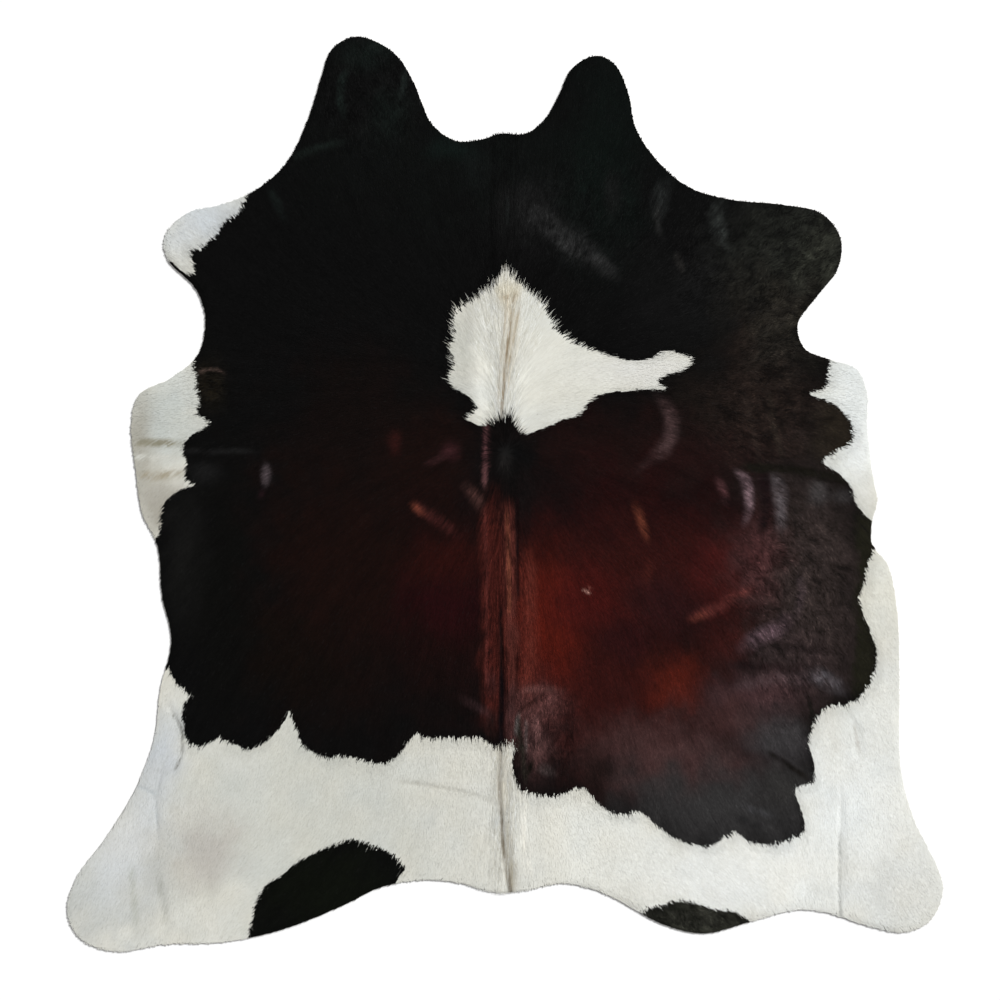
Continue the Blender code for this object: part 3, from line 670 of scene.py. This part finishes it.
def cut_edge(spacing):
    """The cut edge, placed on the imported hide's box."""
    edge = smooth_loop(joined(OUTLINE_CM), spacing)
    low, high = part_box("hide")
    middle = (np.array(low[:2]) + np.array(high[:2])) / 2
    return edge - (edge.min(axis=0) + edge.max(axis=0)) / 2 + middle


def soft_noise(points, cell, seed):
    """Smooth noise from -1 to 1 whose bumps are about a cell wide."""
    size = NOISE_CELLS
    table = np.random.default_rng(seed).uniform(-1.0, 1.0, (size, size))
    place = points / cell
    corner = np.floor(place).astype(int)
    part = place - corner
    part = part * part * (3 - 2 * part)
    (x, y), (u, v) = corner.T % size, part.T
    right, above = (x + 1) % size, (y + 1) % size
    near = table[y, x] * (1 - u) + table[y, right] * u
    far = table[above, x] * (1 - u) + table[above, right] * u
    return near * (1 - v) + far * v


def noise(points, kind):
    """The named noise at points."""
    return sum(weight * soft_noise(points, cell * CM, seed) for weight, cell, seed in NOISES[kind])


def plus(pair, share):
    """The pair's first value, and as much of its second one as share says."""
    return pair[0] + pair[1] * share


class Map:
    """A value, or a row of values, at each node of a grid over the whole hide."""

    def __init__(self, values):
        self.values = values.reshape(*GRID_SHAPE, -1)

    def at(self, points):
        """The values at points, blended between the nodes."""
        place = (points - GRID_START) / GRID_STEP
        corner = np.clip(np.floor(place).astype(int), 0, np.array(GRID_SHAPE[::-1]) - 2)
        (x, y), part = corner.T, np.clip(place - corner, 0.0, 1.0)
        u, v = part[:, :1], part[:, 1:]
        near = self.values[y, x] * (1 - u) + self.values[y, x + 1] * u
        far = self.values[y + 1, x] * (1 - u) + self.values[y + 1, x + 1] * u
        blend = near * (1 - v) + far * v
        return blend[:, 0] if blend.shape[1] == 1 else blend


def inside(loop):
    """Whether each node of the grid lies inside the loop, found row by row."""
    ends = np.roll(loop, -1, axis=0)
    columns = GRID[:GRID_SHAPE[1], 0]
    rows = GRID[::GRID_SHAPE[1], 1]
    result = np.zeros(GRID_SHAPE, bool)
    for row, y in enumerate(rows):
        crossed = (loop[:, 1] > y) != (ends[:, 1] > y)
        start, end = loop[crossed], ends[crossed]
        share = (y - start[:, 1]) / (end[:, 1] - start[:, 1])
        places = np.sort(start[:, 0] + share * (end[:, 0] - start[:, 0]))
        result[row] = np.searchsorted(places, columns) % 2 == 1
    return result.ravel()


def depth_map(within, loops):
    """How deep each node lies within an area: distance to its outline, negative outside."""
    points = np.vstack(loops)
    tree = KDTree(len(points))
    for number, (x, y) in enumerate(points):
        tree.insert((x, y, 0.0), number)
    tree.balance()
    distance = np.array([tree.find((x, y, 0.0))[2] for x, y in GRID])
    return Map(np.where(within, distance, -distance))


# The hide's form


def fold_line(start, middle, end, samples):
    """A fold's centre line: a bow from start to end that passes through middle."""
    start, middle, end = (np.array(point) * CM for point in (start, middle, end))
    control = 2 * middle - (start + end) / 2
    t = np.linspace(0.0, 1.0, samples)[:, None]
    return (1 - t) ** 2 * start + 2 * t * (1 - t) * control + t**2 * end


def bow(points, start, middle, end, half_width, fade_share):
    """Which points a bow reaches, how far across it they lie and how far from its ends.

    Both run from 0 to 1. A point is far from the ends when more than fade_share of the bow's
    length lies between.
    """
    line = fold_line(start, middle, end, FOLD_SAMPLES)
    reach = half_width * MM
    low, high = line.min(axis=0) - reach, line.max(axis=0) + reach
    near = np.flatnonzero(np.all((points > low) & (points < high), axis=1))
    nearest = np.full(len(near), np.inf)
    along = np.zeros(len(near))
    for number, (start, end) in enumerate(zip(line[:-1], line[1:])):
        step = end - start
        share = np.clip((points[near] - start) @ step / (step @ step), 0.0, 1.0)
        distance = np.linalg.norm(points[near] - start - share[:, None] * step, axis=1)
        along = np.where(distance < nearest, number + share, along)
        nearest = np.minimum(distance, nearest)
    along /= FOLD_SAMPLES - 1
    across = np.clip(nearest / reach, 0.0, 1.0)
    return near, across, np.clip(np.minimum(along, 1 - along) / fade_share, 0.0, 1.0)


def relief(points, folds, swells):
    """Height of folds and swells over the even skin."""
    heights = np.zeros(len(points))
    for *line, height in folds:
        near, across, from_end = bow(points, *line, FOLD_FADE)
        strength = np.cos(across * math.pi / 2) ** 2 * np.sin(from_end * math.pi / 2)
        heights[near] += height * MM * strength
    for centre, radius, height in swells:
        distance = np.linalg.norm(points - np.array(centre) * CM, axis=1) / (radius * CM)
        heights += height * MM * np.cos(np.clip(distance, 0.0, 1.0) * math.pi / 2) ** 2
    return heights


def wander(points):
    """How far a line drawn on the hide strays from even at points, from about -1 to 1."""
    return np.column_stack([noise(points, f"stray along {axis}") for axis in "xy"])


def crease_relief(points):
    """Depth of the creases that only the hair shows."""
    depth = relief(points + CREASE_STRAY * wander(points), CREASES.values(), [])
    return depth * (1 + noise(points, "crease depth"))


def bed_height(points, maps):
    """Height over the floor of the dense hair that the top locks rest on."""
    shoulder = np.clip(maps["rim"].at(points) / EDGE_WIDTH, 0.0, 1.0)
    full = LEATHER + UNDERHAIR - EDGE_THICKNESS + maps["folds"].at(points)
    return EDGE_THICKNESS + full * np.sin(shoulder * math.pi / 2)


def shown_slope(points, maps):
    """Slope of the lying hair: softened over the folds, full in the narrow creases."""
    slope = FOLD_SHOW * maps["slope"].at(points)
    for axis, step in enumerate(np.eye(2) * SLOPE_STEP):
        rise = crease_relief(points + step) - crease_relief(points - step)
        slope[:, axis] += rise / (2 * SLOPE_STEP)
    return slope


def hair_ways(points):
    """Unit vectors along the lying hair."""
    rows = np.array(HAIR_WAYS, float)
    mirrored = rows[rows[:, 0] > 0] * (-1, 1, 1)
    mirrored[:, 2] = 180 - mirrored[:, 2]
    total = np.zeros_like(points)
    for x, y, degrees in np.vstack((rows, mirrored)):
        gap = ((points - np.array((x, y)) * CM) ** 2).sum(axis=1)
        weight = np.exp(-gap / WAY_REACH**2) + 1e-9
        total[:, 0] += weight * math.cos(math.radians(degrees))
        total[:, 1] += weight * math.sin(math.radians(degrees))
    return total / np.linalg.norm(total, axis=1)[:, None]


def near_spine(points):
    """How near points lie to the spine, from 0 to 1."""
    return np.exp(-(points[:, 0] / SPINE_REACH) ** 2)


def extra_length(points):
    """How much longer than elsewhere the hair grows at points, from 0 to 1."""
    x, y, radius_x, radius_y = np.array(LONG_HAIR) * CM
    across, along = (points[:, 0] - x) / radius_x, (points[:, 1] - y) / radius_y
    return np.maximum(near_spine(points), LONG_BACK * np.exp(-(across**2 + along**2)))


def curliness(points):
    """How much the hair curls at points, from 0 to 1."""
    curly = np.zeros(len(points))
    for x, y, radius_x, radius_y, strength in CURLY.values():
        gap = (points - np.array((x, y)) * CM) / (np.array((radius_x, radius_y)) * CM)
        curly = np.maximum(curly, strength * np.exp(-(gap**2).sum(axis=1) ** 2))
    return curly


# Coat colours


def linear(srgb):
    """Linear colour of an sRGB colour given in 255ths."""
    share = np.array(srgb) / 255
    return np.where(share <= 0.04045, share / 12.92, ((share + 0.055) / 1.055) ** 2.4)


def hair_streaks(points, way, cell, reach, seed):
    """Noise about a cell wide, drawn out along the hair to reach on either side."""
    total = soft_noise(points, cell, seed)
    steps = math.ceil(reach / (STRAND_STRIDE * cell))
    for sign in (-1, 1):
        places = points.copy()
        for _ in range(steps):
            places += sign * reach / steps * way.at(places)
            total = total + soft_noise(places, cell, seed)
    return total / math.sqrt(2 * steps + 1)


def markings_and_painted_light(points, look, ragged):
    """A coat's base colour at points, with each tint and streak laid over it in turn.

    Besides the coat's own patches and tones, many of them paint sheen and highlights on the
    glossy hair, and shade in its furrows, creases and hollows.

    ragged thins or thickens the streaks from hair to hair.
    """
    colour = np.tile(linear(look["base"]), (len(points), 1))
    astray = wander(points)
    for x, y, radius_x, radius_y, turn, strength, srgb in look["tints"].values():
        cos, sin = math.cos(math.radians(turn)), math.sin(math.radians(turn))
        stray = min(radius_x, radius_y) * TINT_STRAY * CM
        dx, dy = (points + astray * stray - np.array((x, y)) * CM).T
        across = (dx * cos + dy * sin) / (radius_x * CM)
        along = (dy * cos - dx * sin) / (radius_y * CM)
        weight = strength * np.exp(-(across**2 + along**2) ** TINT_EDGE)
        colour += (linear(srgb) - colour) * weight[:, None]
    for start, middle, end, half_width, strength, srgb in look["streaks"].values():
        stray = STREAK_STRAY * half_width * MM
        ends = min(0.5, STREAK_ENDS * half_width * MM / (math.dist(start, end) * CM))
        near, across, from_end = bow(points + astray * stray, start, middle, end, half_width, ends)
        spread = np.minimum(np.hypot(across, 1 - from_end), 1.0)
        weight = strength * np.cos(spread * math.pi / 2) ** 2 * ragged[near]
        colour[near] += (linear(srgb) - colour[near]) * np.clip(weight, 0.0, 1.0)[:, None]
    return np.maximum((colour - look["gloss"]) / COAT_LIGHT, DARKEST)


def coat_colour(points, maps, coat):
    """The hair's colour at points, with painted sheen and shade, varied from hair to hair."""
    look = COATS[coat]
    fine, broad, curls = (
        hair_streaks(points, maps[way], cell * MM, reach * MM, seed)
        for way, cell, reach, seed in STRANDS.values()
    )
    by_strand, by_mottle = look["ragged"]
    ragged = np.clip(1 + by_strand * fine + by_mottle * noise(points, "mottle"), 0.0, 2.0)
    spine, curly = near_spine(points), maps["curly"].at(points)
    shade = 1 + plus(look["fine"], spine) * fine + plus(look["broad"], spine) * broad
    shade += plus(look["cloud"], curly) * noise(points, f"{coat} cloud")
    shade += look["curls"] * curly * curls
    warmth = look["warmth"] * noise(points, "warmth")
    warm = np.column_stack((1 + warmth, np.ones(len(points)), 1 - BLUE_LOSS * warmth))
    return markings_and_painted_light(points, look, ragged) * np.clip(shade, *SHADES)[:, None] * warm


# Meshes


def new_object(name, data):
    """A new object in the scene."""
    thing = bpy.data.objects.new(name, data)
    bpy.context.scene.collection.objects.link(thing)
    return thing


def new_piece(name, mesh):
    """A mesh as a piece of the hide that takes its finish from a material slot."""
    piece = new_object(name, mesh)
    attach(piece, "root")
    return piece


def staggered(low, high, step):
    """Points in staggered rows over the box from low to high."""
    points = []
    for row, y in enumerate(np.arange(low[1], high[1], step * math.sqrt(3) / 2)):
        x = np.arange(low[0], high[0], step) + step / 2 * (row % 2)
        points.append(np.column_stack((x, np.full_like(x, y))))
    return np.vstack(points)


def triangulated(edge, rim, step):
    """Points, the edge's first, and triangles of the area inside the edge."""
    inner = staggered(edge.min(axis=0), edge.max(axis=0), step)
    points = np.vstack((edge, inner[rim.at(inner) > EDGE_GAP * step]))
    flat, _, triangles, *_ = delaunay_2d_cdt(
        [tuple(point) for point in points], [], [list(range(len(edge)))], 1, SNAP
    )
    return np.array([tuple(point) for point in flat]), triangles


def paint(mesh, colour):
    """Stores a colour for each vertex, for the coat's material."""
    layer = mesh.color_attributes.new("coat", "FLOAT_COLOR", "POINT")
    layer.data.foreach_set("color", np.column_stack((colour, np.ones(len(colour)))).ravel())


def build_skin(edge, maps):
    """The tanned skin: one closed sheet with folds, a cut edge and a suede underside."""
    top, top_triangles = triangulated(edge, maps["rim"], SKIN_STEP)
    under, under_triangles = triangulated(edge, maps["rim"], UNDERSIDE_STEP)
    near_edge = np.clip(maps["rim"].at(top) / EDGE_WIDTH, 0.0, 1.0)
    heights = bed_height(top, maps) + UNDERCOAT * near_edge

    sheet = bmesh.new()
    above = [sheet.verts.new((x, y, z)) for (x, y), z in zip(top, heights)]
    below = [sheet.verts.new((x, y, 0.0)) for x, y in under]
    for triangle in top_triangles:
        sheet.faces.new([above[i] for i in triangle]).smooth = True
    for triangle in under_triangles:
        sheet.faces.new([below[i] for i in triangle]).material_index = 1
    count = len(edge)
    for i in range(count):
        j = (i + 1) % count
        sheet.faces.new((above[i], above[j], below[j], below[i])).material_index = 2
    bmesh.ops.recalc_face_normals(sheet, faces=sheet.faces)
    mesh = bpy.data.meshes.new("hide_skin")
    sheet.to_mesh(mesh)
    sheet.free()

    places = np.vstack((top, under))
    dark = maps["coat"].at(places)[:, None] > 0
    paint(mesh, np.where(dark, *(coat_colour(places, maps, coat) for coat in COATS)))
    for name in ("undercoat", "suede", "cut_edge"):
        mesh.materials.append(finish_material(name))
    return new_piece("hide_skin", mesh)


def hair_roots(edge, maps, rng):
    """Jittered roots of all locks, and which of them are fine wisps."""
    low, high = edge.min(axis=0), edge.max(axis=0)
    roots, kinds = [], []
    for wisp, pitch in ((False, LOCK_PITCH), (True, WISP_PITCH)):
        places = staggered(low, high, pitch)
        places = places + rng.uniform(-ROOT_JITTER, ROOT_JITTER, places.shape) * pitch
        places = places[maps["rim"].at(places) > 0]
        if wisp:
            at_patch = np.abs(maps["coat"].at(places)) < WISP_BAND
            places = places[at_patch | (extra_length(places) > LONG_ENOUGH)]
        roots.append(places)
        kinds.append(np.full(len(places), wisp))
    return np.vstack(roots), np.concatenate(kinds)


def turned(way, angle):
    """Unit vectors turned by an angle each."""
    cos, sin = np.cos(angle), np.sin(angle)
    way = np.column_stack((way[:, 0] * cos - way[:, 1] * sin, way[:, 0] * sin + way[:, 1] * cos))
    return way / np.linalg.norm(way, axis=1)[:, None]


def trimmed(roots, way, length, rim):
    """Lock lengths, shortened where a tip would reach too far past the cut edge."""
    for _ in range(TRIMS):
        far = rim.at(roots + way * length[:, None]) < -OVERHANG
        length = np.where(far, length * TRIM, length)
    return length


def lock_stations(roots, way, length, lift, maps):
    """Each lock's root, middle and tip, on the bed that it rests on."""
    return [
        np.column_stack((
            place, height + bed_height(place, maps) + CREASE_SINK * crease_relief(place)
        ))
        for place, height in (
            (roots, -ROOT_DEPTH),
            (roots + way * 0.5 * length[:, None], lift),
            (roots + way * length[:, None], lift * TIP_LIFT),
        )
    ]


def lock_normals(stations, way, side, maps, rng):
    """Normals of each lock's stations: the shown slope's, leaning a little from lock to lock."""
    count = len(way)
    normal = np.stack([
        np.column_stack((-shown_slope(station[:, :2], maps), np.ones(count)))
        for station in stations
    ], axis=1)
    normal += (side * rng.normal(0.0, LOCK_ROLL, count)[:, None])[:, None, :]
    normal[:, :, :2] -= LOCK_RISE * way[:, None, :]
    return normal


def lock_corners(stations, side):
    """The five corners of each lock: a quad that widens from the root, and a pointed tip."""
    root, middle, tip = stations
    return np.stack(
        (root + ROOT_WIDTH * side, root - ROOT_WIDTH * side, middle - side, middle + side, tip),
        axis=1,
    )


def lock_mesh(name, corners, colour):
    """One mesh of many locks, coloured at each root, middle and tip, the root in painted shade."""
    count = len(corners)
    order = (0, 1, 2, 3, 3, 2, 4)  # a quad and a triangle
    mesh = bpy.data.meshes.new(name)
    mesh.vertices.add(count * 5)
    mesh.vertices.foreach_set("co", corners.ravel())
    mesh.loops.add(count * 7)
    mesh.loops.foreach_set("vertex_index", (np.arange(count)[:, None] * 5 + order).ravel())
    mesh.polygons.add(count * 2)
    mesh.polygons.foreach_set("loop_start", (np.arange(count)[:, None] * 7 + (0, 4)).ravel())
    mesh.update(calc_edges=True)
    mesh.polygons.foreach_set("use_smooth", np.ones(count * 2, bool))
    # painted shade, darker towards each lock's root
    along = np.array(LOCK_ROOT_SHADE)[None, :, None]
    paint(mesh, (colour[:, LOCK_STATIONS] * along).reshape(-1, 3))

    strand = np.tile(np.array(STRAND_CORNERS), (count, 1, 1))
    strand[:, :, 0] += np.arange(count)[:, None] % STRAND_KINDS
    flat = (corners[:, :, :2] - GRID_START) / (GRID_STEP * max(GRID_SHAPE))
    for layer, places in (("strand", strand), ("OFBake", flat)):
        mesh.uv_layers.new(name=layer).data.foreach_set("uv", places[:, order].ravel())
    return mesh


def round_normals(mesh, normals, side):
    """Gives the lying locks the lie of the skin under them, each a little rounded."""
    lean = np.array((1, -1, -1, 1, 0))[None, :, None] * side[:, None, :]
    normals = (normals[:, LOCK_STATIONS] + LOCK_ROUND * lean).reshape(-1, 3)
    normals = normals / np.linalg.norm(normals, axis=1)[:, None]
    mesh.normals_split_custom_set_from_vertices(normals.tolist())


def build_hair(edge, maps):
    """All hair locks, as joined meshes of one hair colour each."""
    rng = np.random.default_rng(HAIR_SEED)
    roots, wisp = hair_roots(edge, maps, rng)
    count = len(roots)
    long, curly = extra_length(roots), maps["curly"].at(roots)
    fringe = long * wisp
    turn = noise(roots, "turn") + CURL_TURN * curly * noise(roots, "curl")
    way = turned(maps["way"].at(roots), turn + rng.normal(0.0, plus(LOCK_STRAY, curly)))
    length = np.where(wisp, WISP_LENGTH, LOCK_LENGTH) * rng.uniform(*LENGTHS, count)
    length = trimmed(roots, way, length * (1 + LONGER * long - SHORTER * curly), maps["rim"])

    tooth = noise(roots, "teeth")
    tooth += plus(TOOTH_SPREAD, fringe) * MM * rng.normal(0.0, 1.0, count)
    tooth += plus(TOOTH_PLACE, fringe) * length
    dark = maps["coat"].at(roots + way * tooth[:, None]) > 0

    lift = np.where(wisp, WISP_LIFT, LOCK_LIFT) * rng.uniform(*LIFTS, count)
    lift *= np.clip(maps["rim"].at(roots) / LIFT_REACH, LIFT_AT_EDGE, 1.0)
    stations = lock_stations(roots, way, length, lift, maps)
    fine = np.maximum(np.maximum(long, curly), np.abs(maps["coat"].at(roots)) < WISP_BAND)
    half = np.where(wisp, WISP_WIDTH, LOCK_WIDTH * (1 - NARROWER * fine)) / 2
    half *= rng.uniform(*WIDTHS, count)
    side = np.column_stack((-way[:, 1], way[:, 0], np.zeros(count)))
    normal = lock_normals(stations, way, side, maps, rng)

    for coat, wanted in (("dark", dark), ("white", ~dark)):
        rows = np.flatnonzero(wanted)
        even, by_length, by_curl, by_fringe = COATS[coat]["spread"]
        spread = even + by_length * long + by_curl * curly + by_fringe * fringe
        shade = np.exp(np.clip(rng.normal(0.0, spread[rows]), -SHADE_REACH, SHADE_REACH))
        colour = np.stack(
            [coat_colour(station[rows, :2], maps, coat) for station in stations], axis=1
        )
        colour *= (shade[:, None] ** COATS[coat]["tilt"])[:, None, :]
        material = finish_material(f"lying_{coat}_hair")
        pieces = math.ceil(len(rows) / LOCKS_A_PIECE)
        for number, part in enumerate(np.array_split(np.arange(len(rows)), pieces), 1):
            name = f"hair_{coat}_{number}"
            chosen = rows[part]
            across = side[chosen]
            corners = lock_corners(
                [station[chosen] for station in stations], across * half[chosen, None]
            )
            mesh = lock_mesh(name, corners, np.minimum(colour[part], LIGHTEST))
            round_normals(mesh, normal[chosen], across)
            mesh.materials.append(material)
            new_piece(name, mesh)


# Materials


def node_material(name):
    """An empty node material with its Principled shader."""
    material = bpy.data.materials.new(name)
    material.use_nodes = True
    return material, material.node_tree, material.node_tree.nodes["Principled BSDF"]


def add_node(tree, kind, **values):
    """A shader node with values set on its properties, or set on or linked to its sockets."""
    node = tree.nodes.new(kind)
    for key, value in values.items():
        socket = key.replace("_", " ")
        if hasattr(node, key):
            setattr(node, key, value)
        elif isinstance(value, bpy.types.NodeSocket):
            tree.links.new(value, node.inputs[socket])
        else:
            node.inputs[socket].default_value = value
    return node


def first_tone(tree, colour):
    """Socket of a finish's plain colour, or of the painted coat if it has none."""
    if colour is None:
        return add_node(tree, "ShaderNodeVertexColor", layer_name="coat").outputs["Color"]
    tone = tree.nodes.new("ShaderNodeRGB").outputs["Color"]
    tone.default_value = colour
    return tone


def grain_places(tree, lying):
    """Socket of the places that grain is taken at: along each lock where hair is lying."""
    if not lying:
        return add_node(tree, "ShaderNodeTexCoord").outputs["Object"]
    strand = add_node(tree, "ShaderNodeUVMap", uv_map="strand").outputs["UV"]
    return add_node(tree, "ShaderNodeMapping", Vector=strand, Scale=STRETCH).outputs["Vector"]


def finish_material(name):
    """The node material of a row in FINISHES."""
    colour, grains, (strength, height), roughness, sheen = FINISHES[name]
    material, tree, shader = node_material(name)
    tone = first_tone(tree, colour)
    places = grain_places(tree, name.startswith("lying"))
    for scale, detail, rough, low, high, dark, light in grains:
        grain = add_node(tree, "ShaderNodeTexNoise", Vector=places, Scale=scale, Detail=detail,
                         Roughness=rough).outputs["Fac"]
        shade = add_node(tree, "ShaderNodeMapRange", Value=grain, From_Min=low, From_Max=high,
                         To_Min=dark, To_Max=light)
        mix = add_node(tree, "ShaderNodeMix", data_type="RGBA", blend_type="MULTIPLY", Factor=1.0)
        tree.links.new(tone, mix.inputs[MIX_A])
        tree.links.new(shade.outputs["Result"], mix.inputs[MIX_B])
        tone = mix.outputs[MIX_OUT]
    bump = add_node(tree, "ShaderNodeBump", Strength=strength, Distance=height, Height=grain)
    tree.links.new(tone, shader.inputs["Base Color"])
    tree.links.new(bump.outputs["Normal"], shader.inputs["Normal"])
    shader.inputs["Roughness"].default_value = roughness
    shader.inputs["Specular IOR Level"].default_value = sheen
    return material


# Studio


def make_camera():
    """A long lens straight above the rug."""
    data = bpy.data.cameras.new("camera")
    data.sensor_width = SENSOR
    data.lens = SENSOR * CAMERA_HEIGHT / PICTURE_WIDTH
    data.clip_end = CAMERA_REACH
    camera = new_object("camera", data)
    camera.location = (*PICTURE_CENTRE, CAMERA_HEIGHT)
    bpy.context.scene.camera = camera


def make_studio():
    """A pale floor, a soft key light from the upper right and an even fill."""
    mesh = bpy.data.meshes.new("floor")
    corners = [
        (x * FLOOR_REACH, y * FLOOR_REACH, 0) for x, y in ((-1, -1), (1, -1), (1, 1), (-1, 1))
    ]
    mesh.from_pydata(corners, [], [(0, 1, 2, 3)])
    floor = new_object("floor", mesh)
    floor.location.z = -FLOOR_DROP
    material, _, shader = node_material("floor")
    shader.inputs["Base Color"].default_value = FLOOR
    shader.inputs["Roughness"].default_value = 0.9
    shader.inputs["Specular IOR Level"].default_value = 0.0
    mesh.materials.append(material)

    key = bpy.data.lights.new("key", "SUN")
    elevation, azimuth = math.radians(KEY_ELEVATION), math.radians(KEY_AZIMUTH)
    key.energy = KEY_LIGHT / math.sin(elevation)
    key.angle = math.radians(KEY_SPREAD)
    lamp = new_object("key", key)
    lamp.rotation_euler = (0.0, math.pi / 2 - elevation, azimuth)

    world = bpy.data.worlds.new("fill")
    world.use_nodes = True
    background = world.node_tree.nodes["Background"]
    background.inputs["Color"].default_value = (1.0, 1.0, 1.0, 1.0)
    background.inputs["Strength"].default_value = FILL_LIGHT
    bpy.context.scene.world = world
    bpy.context.scene.view_settings.view_transform = "Standard"


def hide_maps():
    """Maps of the hide: depth within the cut edge and the dark hair, folds, slope, hair's lie."""
    edge = cut_edge(PATCH_STEP)
    patches = [smooth_loop(joined(patch), PATCH_STEP) for patch in DARK_PATCHES_CM.values()]
    white = smooth_loop(WHITE_PATCH_CM, PATCH_STEP)
    dark = np.logical_or.reduce([inside(patch) for patch in patches]) & ~inside(white)
    folds = Map(relief(GRID, FOLDS.values(), SWELLS.values()))
    way = hair_ways(GRID)
    return {
        "rim": depth_map(inside(edge), [edge]),
        "coat": depth_map(dark, [*patches, white]),
        "folds": folds,
        "slope": Map(np.stack(np.gradient(folds.values[:, :, 0], GRID_STEP)[::-1], axis=2)),
        "way": Map(way),
        "curly": Map(curliness(GRID)),
        "curling": Map(turned(way, noise(GRID, "curling"))),
    }


def build_rug():
    """The whole rug: skin and hair."""
    edge = cut_edge(EDGE_STEP)
    maps = hide_maps()
    skin = build_skin(edge, maps)
    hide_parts("hide")
    build_hair(edge, maps)


make_camera()
make_studio()
build_rug()
